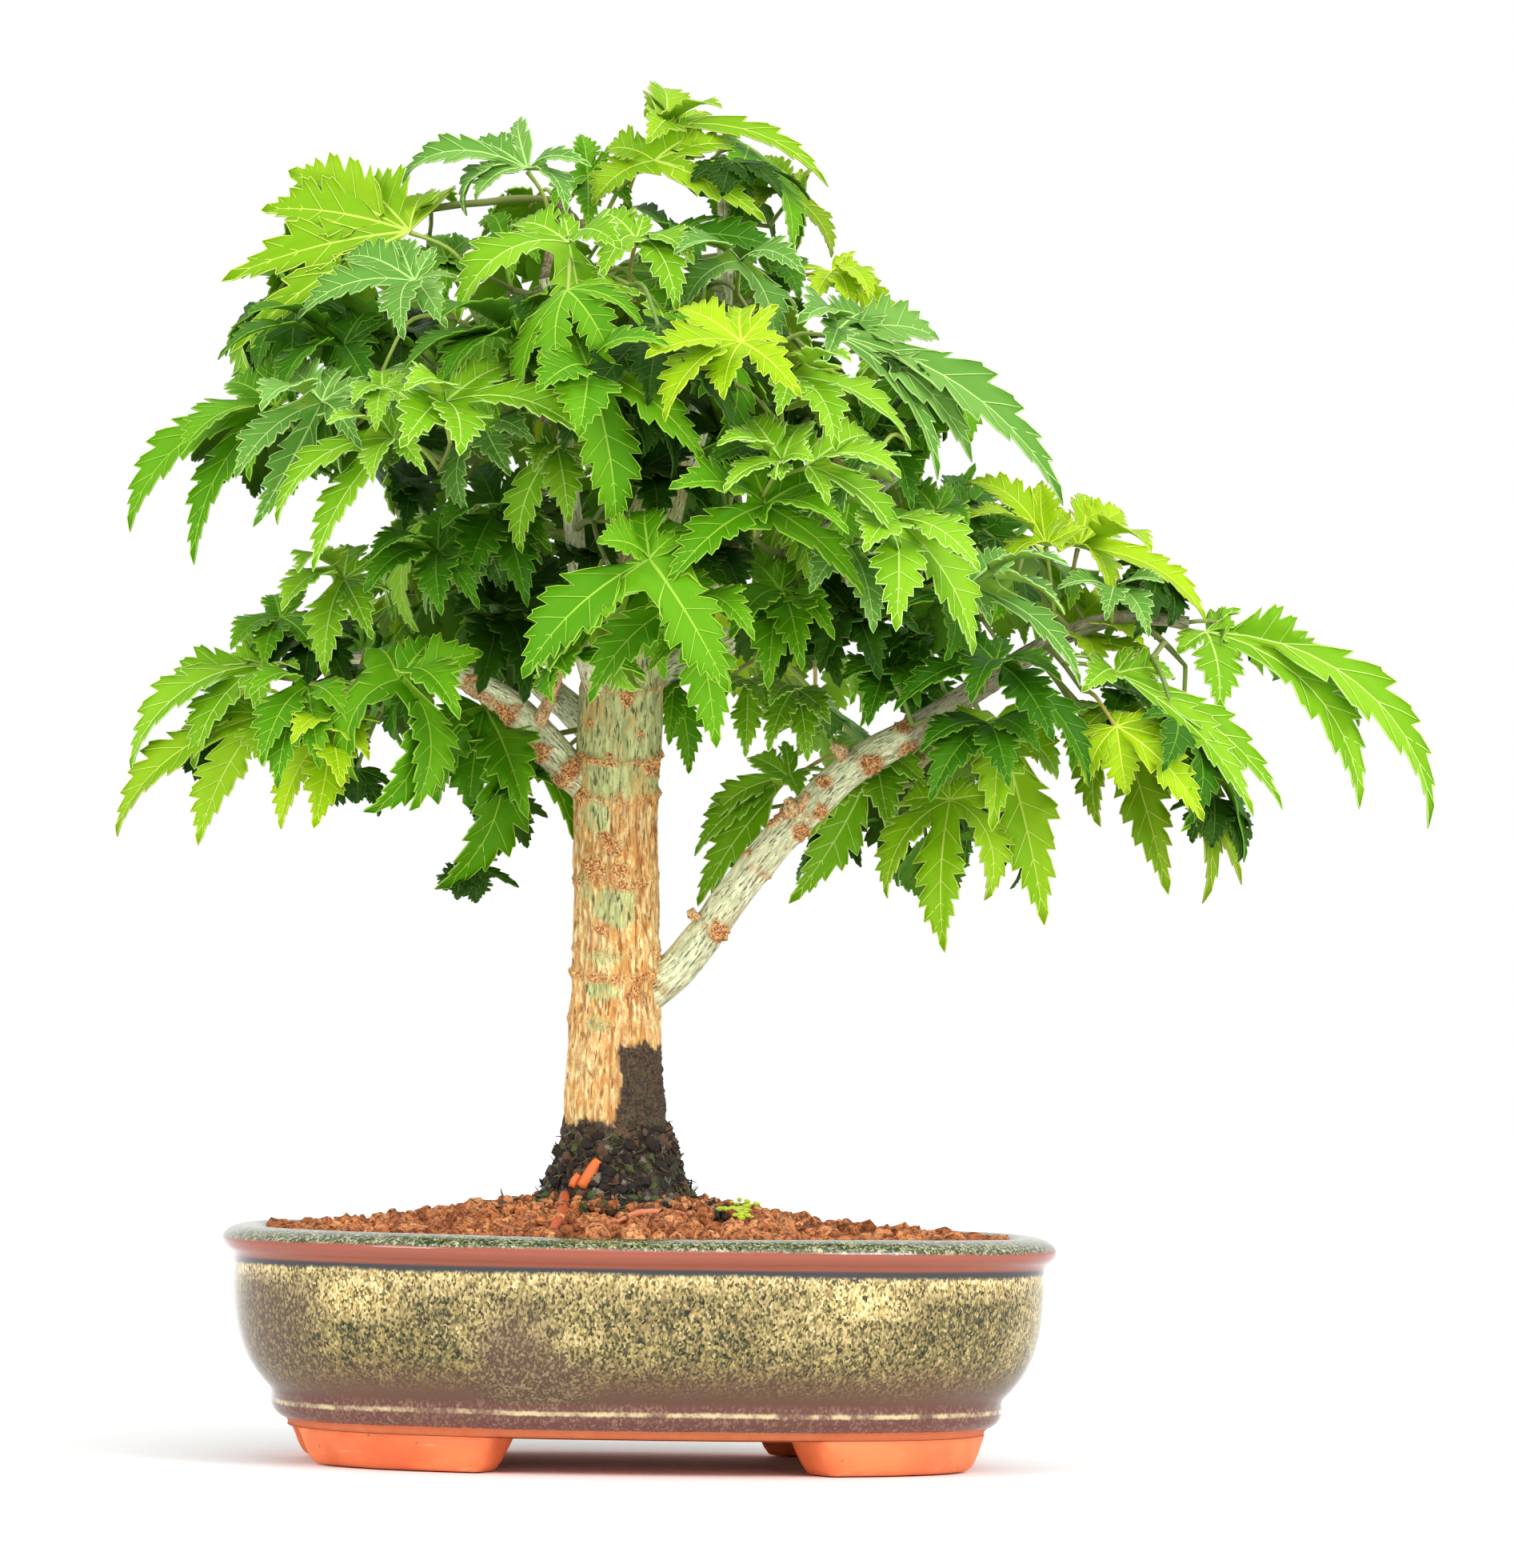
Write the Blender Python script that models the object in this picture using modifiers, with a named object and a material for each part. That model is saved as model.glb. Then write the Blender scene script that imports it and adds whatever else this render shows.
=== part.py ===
"""A lion's-head Japanese maple grown as a bonsai, in its oval glazed pot.

Row frame: metres, +Z up, the pot's long side along X, its front towards -Y.
The tree's own front is turned a few degrees from the pot's, as it was potted,
so the plant is laid out in a "front" frame (right, away, up) about the middle
of the pot and turned into the row frame by TURN.
"""
import math

import bmesh
import bpy
from mathutils import Matrix, Vector, noise

MM = 0.001
GAP = 0.3 * MM              # clearance between solids that touch

# ---- pot -------------------------------------------------------------------
POT_HALF_LENGTH = 95.0      # at the lip, mm
POT_HALF_DEPTH = 66.0
POT_SQUARENESS = 2.5        # exponent of the oval plan: 2 is an ellipse
POT_SIDES = 48
FLOOR_UNDER = 8.4           # height of the underside above the table
FLOOR_TOP = 14.0
DRAIN_RADIUS = 7.0
DRAIN_X = 40.0
ARCH_HALF_X = 31.5          # half the gap between the front feet, under the pot
ARCH_HALF_Y = 22.0          # half the gap between the feet of one end
ARCH_SLOPE = 5.0            # how much wider the gap is at the table
# outer face: (distance inwards from the lip's widest line, height)
POT_OUTSIDE = (
    (9.6, 51.2), (8.2, 52.7), (6.0, 53.0), (3.4, 52.5), (1.2, 51.0), (0.0, 48.6),
    (0.9, 46.4), (2.5, 44.0), (3.0, 41.5), (3.0, 37.0), (3.6, 31.0), (5.3, 24.8),
    (8.6, 19.4), (12.2, 15.2), (11.6, 13.2), (12.6, 10.8), (15.4, 8.4),
)
POT_INSIDE = ((20.0, 14.0), (15.5, 16.5), (12.6, 24.0), (10.8, 38.0))

# ---- soil ------------------------------------------------------------------
SOIL_EDGE = 50.2            # height of the soil where it meets the wall
SOIL_MOUND = 9.4            # how much it rises towards the trunk
COLLAR_RADIUS = 24.0        # mossy collar of fine roots round the foot of the trunk
COLLAR_TOP = 75.0

# ---- tree ------------------------------------------------------------------
TURN = math.radians(-6.0)   # the tree's front frame in the row frame
TRUNK_SIDES = 4             # bevel resolution of the trunk: 12 sides
MASS_VOXEL = 2.4            # mm
MASS_CLEAR = 2.6            # air kept between masses, and round the trunk
MASS_FACES = 212

# Trunk: (right, away, up, radius) of the centre line, root flare to cut top.
TRUNK = (
    (-5.0, 0.0, 51.0, 19.5), (-5.2, 0.0, 58.0, 17.8), (-5.6, 0.0, 66.0, 15.0),
    (-6.2, 0.0, 76.0, 12.2), (-6.8, 0.0, 92.0, 11.0), (-7.0, 0.0, 114.0, 10.4),
    (-7.3, 0.0, 133.0, 9.8), (-7.4, 0.0, 151.0, 9.5), (-6.8, 0.5, 169.0, 9.8),
    (-6.0, 1.5, 182.0, 9.0), (-3.5, 3.0, 200.0, 7.2), (0.5, 4.0, 217.0, 6.0),
    (4.5, 4.0, 230.0, 5.2),
)
# Limbs, each one taper from inside the trunk: name -> points (right, away, up, radius).
LIMBS = {
    "bough_right": (
        (-3.0, 0.0, 103.0, 5.6), (6.0, -1.5, 113.0, 5.3), (20.0, -3.0, 129.5, 4.9),
        (35.0, -4.5, 147.0, 4.7), (48.0, -6.0, 159.5, 4.6), (60.0, -7.0, 168.5, 4.2),
        (76.0, -8.0, 179.0, 3.2), (92.0, -9.0, 189.0, 2.4),
    ),
    "bough_left": (
        (-7.0, 0.0, 150.0, 4.6), (-17.0, -1.0, 156.5, 4.3), (-27.0, -2.0, 167.0, 4.0),
        (-34.0, -3.0, 173.5, 3.2), (-43.0, -5.0, 178.0, 2.6), (-56.0, -8.0, 181.0, 1.9),
    ),
    "leader_left": (
        (-9.0, -2.0, 172.0, 3.4), (-14.0, -7.0, 181.0, 2.8), (-16.0, -10.0, 195.0, 2.4),
        (-18.5, -13.0, 215.0, 2.1), (-20.5, -15.0, 232.0, 1.8), (-22.0, -16.0, 244.0, 1.6),
    ),
    "limb_upper_right": (
        (-2.0, 1.0, 188.0, 3.8), (8.0, -4.0, 195.0, 3.3), (20.0, -9.0, 204.0, 2.9),
        (35.0, -13.0, 213.0, 2.4), (47.0, -15.0, 219.0, 2.0),
    ),
    "limb_back_left": (
        (-6.0, 2.0, 160.0, 4.2), (-16.0, 14.0, 170.0, 3.6), (-30.0, 30.0, 182.0, 2.9),
        (-44.0, 46.0, 192.0, 2.2),
    ),
    "limb_back_right": (
        (-5.0, 2.0, 176.0, 4.0), (8.0, 15.0, 183.0, 3.4), (25.0, 32.0, 193.0, 2.8),
        (42.0, 50.0, 202.0, 2.1),
    ),
    "leader_top": (
        (3.0, 4.0, 220.0, 3.8), (9.0, 3.0, 236.0, 3.2), (14.0, 1.0, 256.0, 2.4),
        (15.0, 0.0, 272.0, 1.9), (14.5, 0.0, 290.0, 1.4),
    ),
}

# Foliage. Each mass is a few lumps run together:
# (right, away, up, half sizes right/away/up, tilt in the front view, degrees up to the left)
FOLIAGE = {
    "foliage_apex": (
        (12, 0, 297, 22, 27, 15, 0), (28, 2, 285, 14, 20, 12, 25), (5, 0, 307, 10, 13, 8, 0),
    ),
    "foliage_top_left": ((-36, -4, 290, 25, 30, 14, -12), (-53, -6, 291, 9, 14, 8, -20),),
    "foliage_upper_left": ((-72, -8, 270, 28, 28, 19, -28), (-88, -8, 252, 11, 16, 12, -50),),
    "foliage_left_sweep": (
        (-68, -32, 238, 42, 27, 14, -30), (-98, -30, 217, 18, 16, 9, -50),
        (-113, -28, 210, 6, 9, 12, 10), (-80, -34, 214, 9, 13, 13, -20),
    ),
    "foliage_front": (
        (-12, -62, 250, 37, 38, 24, 0), (-42, -58, 236, 22, 27, 15, -12), (18, -62, 234, 22, 30, 19, 20),
    ),
    "foliage_crown": ((0, 4, 261, 50, 46, 25, 0),),
    "foliage_right_sweep": (
        (52, -22, 250, 30, 32, 15, 28), (76, -22, 233, 20, 20, 10, 45), (87, -22, 225, 8, 12, 8, 55),
        (46, 0, 266, 18, 26, 12, 25),
    ),
    "foliage_front_low": ((-2, -56, 192, 25, 26, 20, 0), (-22, -58, 180, 9, 13, 10, -45),),
    "foliage_mid_left": ((-42, 20, 208, 27, 28, 24, 0), (-38, 20, 188, 17, 20, 14, 0),),
    "foliage_mid_right": (
        (44, -38, 212, 30, 32, 21, 15), (62, -40, 195, 14, 21, 14, 40), (28, -34, 193, 15, 21, 14, 0),
    ),
    "foliage_low_left": (
        (-82, -16, 177, 31, 33, 17, -20), (-104, -20, 160, 14, 20, 15, -45), (-100, -24, 149, 8, 13, 12, 0),
        (-66, -14, 156, 16, 20, 13, 0), (-114, -20, 150, 6, 9, 10, -20),
    ),
    "foliage_left_hanging": ((-33, 8, 152, 14, 17, 16, 0), (-42, 4, 137, 9, 11, 9, -30),),
    "foliage_under": ((24, 24, 178, 25, 24, 15, 0), (14, 22, 163, 11, 16, 11, 0),),
    "foliage_low_middle": ((20, 30, 147, 13, 16, 16, 20), (13, 30, 134, 7, 11, 9, 0),),
    "foliage_right": (
        (92, -10, 204, 29, 34, 17, 12), (110, -6, 205, 16, 23, 14, 30), (72, -6, 221, 12, 18, 8, 0),
    ),
    "foliage_right_far": (
        (143, -4, 186, 22, 19, 9, 22), (163, -4, 174, 16, 14, 9, 50), (174, -4, 160, 7, 10, 14, 20),
        (160, -4, 162, 6, 10, 11, 10),
    ),
    "foliage_right_low": (
        (112, -24, 167, 24, 26, 18, 20), (126, -24, 150, 17, 19, 17, 50), (118, -24, 141, 9, 13, 12, 0),
    ),
    "foliage_right_hanging": (
        (66, 26, 158, 27, 22, 19, 10), (70, 24, 136, 14, 16, 17, 0), (44, 26, 143, 13, 15, 12, -40),
        (86, 24, 138, 9, 13, 14, 0),
    ),
    "foliage_back": ((0, 66, 252, 46, 38, 27, 0), (-6, 78, 230, 34, 26, 18, 0),),
    "foliage_back_left": ((-60, 46, 246, 34, 32, 22, -22), (-80, 46, 230, 14, 20, 14, -40),),
    "foliage_back_low_left": ((-54, 62, 196, 34, 32, 20, -14), (-66, 60, 172, 17, 21, 17, -20),),
    "foliage_back_right": ((64, 50, 222, 36, 34, 20, 20), (88, 44, 204, 17, 22, 14, 45),),
    "foliage_back_low": ((20, 74, 194, 35, 30, 20, 8), (36, 76, 170, 17, 20, 15, 0),),
}

COLOURS = {   # base colour, roughness
    "glaze": ((0.20, 0.19, 0.11), 0.12),
    "terracotta": ((0.62, 0.20, 0.09), 0.75),
    "soil": ((0.22, 0.09, 0.04), 0.95),
    "moss": ((0.05, 0.045, 0.03), 0.95),
    "bark": ((0.46, 0.36, 0.22), 0.8),
    "young_bark": ((0.40, 0.44, 0.30), 0.7),
    "leaf": ((0.10, 0.32, 0.05), 0.5),
}


def clear_scene():
    for obj in list(bpy.data.objects):
        bpy.data.objects.remove(obj)


def collection(name):
    found = bpy.data.collections.new(name)
    bpy.context.scene.collection.children.link(found)
    return found


def material(name):
    mat = bpy.data.materials.get(name)
    if mat is None:
        mat = bpy.data.materials.new(name)
        mat.use_nodes = True
        shader = mat.node_tree.nodes["Principled BSDF"]
        colour, roughness = COLOURS[name]
        shader.inputs["Base Color"].default_value = (*colour, 1.0)
        shader.inputs["Roughness"].default_value = roughness
        shader.inputs["Metallic"].default_value = 0.0
    return mat


def add_object(name, data, mat=None, helper=False):
    obj = bpy.data.objects.new(name, data)
    (CUTTERS if helper else PARTS).objects.link(obj)
    if mat:
        data.materials.clear()
        data.materials.append(material(mat))
    if helper:
        obj.hide_render = True
        obj.display_type = "WIRE"
    return obj


def front(right, away, up):
    """A point of the tree's front frame, given in mm, in the row frame in metres."""
    return Matrix.Rotation(TURN, 3, "Z") @ Vector((right, away, up)) * MM


def baked(obj, name=None):
    """The object's mesh as its modifiers make it, as a new mesh in world space."""
    bpy.context.view_layer.update()
    graph = bpy.context.evaluated_depsgraph_get()
    mesh = bpy.data.meshes.new_from_object(obj.evaluated_get(graph))
    mesh.transform(obj.matrix_world)
    mesh.name = name or obj.name
    return mesh


def swap_mesh(obj, mesh):
    """Gives the object this mesh, in world space, in place of its own and its modifiers."""
    obj.modifiers.clear()
    obj.matrix_world = Matrix.Identity(4)
    obj.data = mesh


def modifier(obj, kind, **settings):
    mod = obj.modifiers.new(kind.lower(), kind)
    for key, value in settings.items():
        setattr(mod, key, value)
    return mod


def cut(obj, cutters):
    for cutter in cutters:
        modifier(obj, "BOOLEAN", operation="DIFFERENCE", solver="EXACT", object=cutter)
    swap_mesh(obj, baked(obj))


def keep_piece(obj, score):
    """Of the loose pieces of the mesh, keeps the one that scores highest."""
    bm = bmesh.new()
    bm.from_mesh(obj.data)
    bmesh.ops.remove_doubles(bm, verts=bm.verts, dist=0.000002)
    left, pieces = set(bm.verts), []
    while left:
        found, edge = set(), [next(iter(left))]
        while edge:
            v = edge.pop()
            if v in found:
                continue
            found.add(v)
            edge.extend(e.other_vert(v) for e in v.link_edges)
        pieces.append(found)
        left -= found
    best = max(pieces, key=score)
    bmesh.ops.delete(bm, geom=[v for v in bm.verts if v not in best], context="VERTS")
    bm.to_mesh(obj.data)
    bm.free()


def extents(obj):
    points = [v.co for v in obj.data.vertices]
    low = Vector(map(min, zip(*points)))
    high = Vector(map(max, zip(*points)))
    return low, high


def near(a, b):
    (al, ah), (bl, bh) = extents(a), extents(b)
    return all(al[i] <= bh[i] and bl[i] <= ah[i] for i in range(3))


# ---- turned and ovalled pieces ----------------------------------------------

def oval(right, away):
    """Direction of a plan point on the pot's oval: the superellipse through that angle."""
    angle = math.atan2(away, right)
    c, s = math.cos(angle), math.sin(angle)
    power = 2.0 / POT_SQUARENESS
    return (
        math.copysign(abs(c) ** power, c) if abs(c) > 1e-9 else 0.0,
        math.copysign(abs(s) ** power, s) if abs(s) > 1e-9 else 0.0,
    )


def turned(name, profile, mat, helper=False):
    """A closed profile of (inset from the lip line, height) in mm, turned about Z and drawn out to the oval plan.

    An inset equal to the half depth is the axis. The profile runs from the top down the outer side."""
    bm = bmesh.new()
    points = [bm.verts.new(((POT_HALF_DEPTH - inset) * MM, 0.0, height * MM)) for inset, height in profile]
    for a, b in zip(points, points[1:]):
        bm.edges.new((a, b))
    if profile[0][0] < POT_HALF_DEPTH:
        bm.edges.new((points[-1], points[0]))
    mesh = bpy.data.meshes.new(name)
    bm.to_mesh(mesh)
    bm.free()
    obj = add_object(name, mesh, mat, helper)
    modifier(
        obj, "SCREW", angle=math.tau, steps=POT_SIDES, render_steps=POT_SIDES,
        use_merge_vertices=True, merge_threshold=0.00005, use_normal_calculate=True,
    )
    mesh = baked(obj)
    stretch = POT_HALF_LENGTH - POT_HALF_DEPTH
    for v in mesh.vertices:
        radius = math.hypot(v.co.x, v.co.y) / MM
        if radius < 0.01:
            continue
        c, s = oval(v.co.x, v.co.y)
        reach = radius + stretch * min(1.0, radius / (0.6 * POT_HALF_DEPTH))
        v.co.x, v.co.y = c * reach * MM, s * radius * MM
    swap_mesh(obj, mesh)
    outward(obj)
    return obj


def outward(obj):
    bm = bmesh.new()
    bm.from_mesh(obj.data)
    bmesh.ops.remove_doubles(bm, verts=bm.verts, dist=0.000005)
    bmesh.ops.recalc_face_normals(bm, faces=bm.faces)
    if bm.calc_volume(signed=True) < 0:
        bmesh.ops.reverse_faces(bm, faces=bm.faces)
    bm.to_mesh(obj.data)
    bm.free()


def round_shading(obj, angle=40.0):
    obj.data.shade_smooth()
    obj.data.set_sharp_from_angle(angle=math.radians(angle))


def block(name, low, high, taper=0.0):
    """A box cutter; taper draws its foot in, which slopes the sides."""
    bm = bmesh.new()
    bmesh.ops.create_cube(bm, size=1.0)
    for v in bm.verts:
        t = v.co + Vector((0.5, 0.5, 0.5))
        for i in range(3):
            v.co[i] = (low[i] + (high[i] - low[i]) * t[i]) * MM
        if taper and t.z < 0.5:
            v.co.x += math.copysign(taper * MM, v.co.x)
    mesh = bpy.data.meshes.new(name)
    bm.to_mesh(mesh)
    bm.free()
    return add_object(name, mesh, helper=True)


def peg(name, x, y, z0, z1, radius, sides=16):
    bm = bmesh.new()
    bmesh.ops.create_cone(
        bm, cap_ends=True, segments=sides, radius1=radius * MM, radius2=radius * MM,
        depth=(z1 - z0) * MM, matrix=Matrix.Translation(Vector((x, y, (z0 + z1) / 2)) * MM),
    )
    mesh = bpy.data.meshes.new(name)
    bm.to_mesh(mesh)
    bm.free()
    return add_object(name, mesh, helper=True)


def make_pot():
    # floor, up the inside, over the lip, down the outside and back under the floor
    section = ((POT_HALF_DEPTH, FLOOR_TOP), *POT_INSIDE, *POT_OUTSIDE, (POT_HALF_DEPTH, FLOOR_UNDER))
    pot = turned("pot", section, "glaze")
    for side in (-1, 1):
        cut(pot, [peg("cut_drain", side * DRAIN_X, 0, 0, 30, DRAIN_RADIUS)])
    outward(pot)
    round_shading(pot)
    # four feet: one oval ring, cut down to each corner; the ends of the arches slope
    for name, sx, sy in (
        ("pot_foot_front_left", -1, -1), ("pot_foot_front_right", 1, -1),
        ("pot_foot_back_left", -1, 1), ("pot_foot_back_right", 1, 1),
    ):
        top = FLOOR_UNDER - GAP / MM
        foot = turned(name, ((29.0, top), (15.8, top), (17.6, 0.0), (27.5, 0.0)), "terracotta")
        reach = 2.0 * POT_HALF_LENGTH
        cut(foot, [
            block("cut_arch_" + name, (-ARCH_HALF_X, -reach, -1), (ARCH_HALF_X, reach, 9), ARCH_SLOPE),
            block("cut_end_" + name, (-reach, -ARCH_HALF_Y, -1), (reach, ARCH_HALF_Y, 9)),
        ])
        keep_piece(foot, lambda piece: sum(v.co.x * sx + v.co.y * sy for v in piece) / len(piece))
        outward(foot)
        round_shading(foot)
    return pot


def soil_height(right, away):
    """Height of the soil over a point of the pot's plan, mm."""
    nearness = math.exp(-((right + 6.0) ** 2 + away ** 2) / (2 * 34.0 ** 2))
    return SOIL_EDGE + SOIL_MOUND * nearness


def make_soil(trunk_cutter):
    gap = GAP / MM
    rings = (26.0, 44.0)
    profile = [(POT_HALF_DEPTH, 60.0)] + [(inset, 60.0) for inset in reversed(rings)]
    profile += [(10.35 + gap, 48.0), (11.5 + gap, 37.0), (13.2 + gap, 24.0), (16.2 + gap, 17.2), (20.6 + gap, FLOOR_TOP + gap)]
    profile += [(POT_HALF_DEPTH, FLOOR_TOP + gap)]
    soil = turned("soil", tuple(profile), "soil")
    for v in soil.data.vertices:
        if v.co.z > 0.0475:
            v.co.z = soil_height(v.co.x / MM, v.co.y / MM) * MM
    cut(soil, [trunk_cutter])
    outward(soil)
    return soil


def make_collar(trunk_cutter):
    """A rough cone of moss and fine roots round the foot of the trunk."""
    bm = bmesh.new()
    low, high = SOIL_EDGE - 2.0, COLLAR_TOP
    bmesh.ops.create_cone(
        bm, cap_ends=True, segments=20, radius1=COLLAR_RADIUS * MM, radius2=14.2 * MM,
        depth=(high - low) * MM, matrix=Matrix.Translation(front(-5.4, 0, (low + high) / 2)),
    )
    for v in bm.verts:
        bump = noise.noise(v.co * 90.0)
        flat = Vector((v.co.x, v.co.y, 0)) - front(-5.4, 0, 0)
        v.co += flat.normalized() * bump * 3.0 * MM
    mesh = bpy.data.meshes.new("moss_collar")
    bm.to_mesh(mesh)
    bm.free()
    collar = add_object("moss_collar", mesh, "moss")
    cut(collar, [trunk_cutter])
    return collar


# ---- limbs -------------------------------------------------------------------

def limb_mesh(name, points, mat, resolution, grow=0.0, helper=False):
    """One tapering limb: a bevelled smooth curve through (right, away, up, radius)."""
    curve = bpy.data.curves.new(name, "CURVE")
    curve.dimensions = "3D"
    curve.bevel_depth = MM
    curve.bevel_resolution = resolution
    curve.use_fill_caps = True
    curve.twist_mode = "Z_UP" if abs(points[-1][2] - points[0][2]) < 1 else "MINIMUM"
    dense = smooth_line(points)
    spline = curve.splines.new("POLY")
    spline.points.add(len(dense) - 1)
    for target, (x, y, z, r) in zip(spline.points, dense):
        target.co = (*front(x, y, z), 1.0)
        target.radius = r + grow
    obj = add_object(name + "_line", curve, helper=True)
    mesh = baked(obj, name)
    bpy.data.objects.remove(obj)
    obj = add_object(name, mesh, mat, helper)
    outward(obj)
    return obj


def smooth_line(points, every=9.0):
    """Points of a Catmull-Rom line through the given ones, about `every` mm apart."""
    out = []
    for i in range(len(points) - 1):
        p = [Vector(points[max(0, min(len(points) - 1, i + k))]) for k in (-1, 0, 1, 2)]
        steps = max(1, round((p[2].to_3d() - p[1].to_3d()).length / every))
        for k in range(steps):
            t = k / steps
            out.append(
                0.5 * ((2 * p[1]) + (p[2] - p[0]) * t + (2 * p[0] - 5 * p[1] + 4 * p[2] - p[3]) * t * t
                       + (3 * p[1] - p[0] - 3 * p[2] + p[3]) * t ** 3)
            )
    out.append(Vector(points[-1]))
    return [tuple(v) for v in out]


# ---- foliage -----------------------------------------------------------------

def lumps_object(name, lumps, grow=0.0, helper=False):
    """Ellipsoid lumps with an uneven skin, run together by a voxel remesh."""
    bm = bmesh.new()
    for number, (x, y, z, rx, ry, rz, tilt) in enumerate(lumps):
        place = (
            Matrix.Translation(front(x, y, z))
            @ Matrix.Rotation(TURN, 4, "Z")
            @ Matrix.Rotation(math.radians(tilt), 4, "Y")
            @ Matrix.Diagonal(((rx + grow) * MM, (ry + grow) * MM, (rz + grow) * MM, 1.0))
        )
        made = bmesh.ops.create_icosphere(bm, subdivisions=3, radius=1.0)
        seed = Vector((x, y, z)) * 0.37
        for v in made["verts"]:
            ridge = noise.noise(v.co * 1.7 + seed) * 0.20 + noise.noise(v.co * 4.1 + seed) * 0.08
            v.co = place @ (v.co * (1.0 + ridge))
    mesh = bpy.data.meshes.new(name)
    bm.to_mesh(mesh)
    bm.free()
    obj = add_object(name, mesh, None if helper else "leaf", helper)
    modifier(obj, "REMESH", mode="VOXEL", voxel_size=MASS_VOXEL * MM)
    swap_mesh(obj, baked(obj))
    return obj


def make_foliage(trunk_cutter):
    done = []
    for name, lumps in FOLIAGE.items():
        mass = lumps_object(name, lumps)
        cutters = [c for c in [trunk_cutter, *done] if near(mass, c)]
        if cutters:
            cut(mass, cutters)
            keep_piece(mass, len)
        done.append(lumps_object("room_" + name, lumps, grow=MASS_CLEAR, helper=True))
        modifier(mass, "REMESH", mode="VOXEL", voxel_size=MASS_VOXEL * 0.9 * MM)
        modifier(mass, "SMOOTH", factor=0.5, iterations=3)
        swap_mesh(mass, baked(mass))
        keep_piece(mass, len)
        ratio = MASS_FACES / sum(len(p.vertices) - 2 for p in mass.data.polygons)
        modifier(mass, "DECIMATE", decimate_type="COLLAPSE", ratio=ratio, use_collapse_triangulate=True)
        swap_mesh(mass, baked(mass))
        outward(mass)
        mass.data.materials.clear()
        mass.data.materials.append(material("leaf"))
        yield mass


def grown(obj, by):
    """A copy of a closed mesh with its skin moved out, as a cutter."""
    copy = add_object("room_" + obj.name, obj.data.copy(), helper=True)
    modifier(copy, "DISPLACE", strength=by * MM, mid_level=0.0)
    swap_mesh(copy, baked(copy))
    return copy


def make_limbs(trunk_skin, masses):
    placed = []
    skins = [grown(mass, 0.6) for mass in masses]
    for name, points in LIMBS.items():
        resolution = 3 if points[1][3] > 4 else 2
        limb = limb_mesh(name, points, "young_bark", resolution)
        root = front(*points[1][:3])
        cutters = [c for c in [trunk_skin, *skins, *placed] if near(limb, c)]
        cut(limb, cutters)
        keep_piece(limb, lambda piece: -min((v.co - root).length for v in piece))
        outward(limb)
        limb.data.materials.clear()
        limb.data.materials.append(material("young_bark"))
        round_shading(limb)
        placed.append(limb_mesh("room_" + name, points, None, resolution, grow=0.45, helper=True))


def centre_on_origin():
    """Moves the plant and pot so that the middle of their footprint box is over the origin."""
    solids = [o for o in PARTS.objects]
    lows, highs = zip(*(extents(o) for o in solids))
    low, high = Vector(map(min, zip(*lows))), Vector(map(max, zip(*highs)))
    base = bpy.data.objects.new("stand_point", None)
    PARTS.objects.link(base)
    base.location = (-(low.x + high.x) / 2, -(low.y + high.y) / 2, -low.z)
    for obj in solids:
        obj.parent = base


clear_scene()
PARTS = collection("maple_bonsai")
CUTTERS = collection("cutters")

make_pot()
trunk = limb_mesh("trunk", TRUNK, "bark", TRUNK_SIDES)
round_shading(trunk)
trunk_room = limb_mesh("room_trunk", TRUNK, None, TRUNK_SIDES, grow=0.35, helper=True)
trunk_air = limb_mesh("air_trunk", TRUNK, None, TRUNK_SIDES, grow=MASS_CLEAR, helper=True)
for helper in (trunk_room, trunk_air):      # the cut at the foot reaches below the trunk's flat base
    foot = min(v.co.z for v in helper.data.vertices)
    for vertex in helper.data.vertices:
        if vertex.co.z < foot + 0.0002:
            vertex.co.z -= 0.0004
collar = make_collar(trunk_room)
collar_room = grown(collar, 0.35)
soil = make_soil(trunk_room)
cut(soil, [collar_room])
keep_piece(soil, len)
outward(soil)
foliage = list(make_foliage(trunk_air))
make_limbs(trunk_room, foliage)
centre_on_origin()
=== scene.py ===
"""Looks of a lion's-head Japanese maple bonsai in its oval glazed pot.

Lengths in the tables are millimetres in the plant's front frame: right, away
from the viewer, up, with the origin under the middle of the pot.
"""
import math
import random

import bmesh
import bpy
import numpy as np
from mathutils import Matrix, Vector, noise
from mathutils.bvhtree import BVHTree


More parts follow.
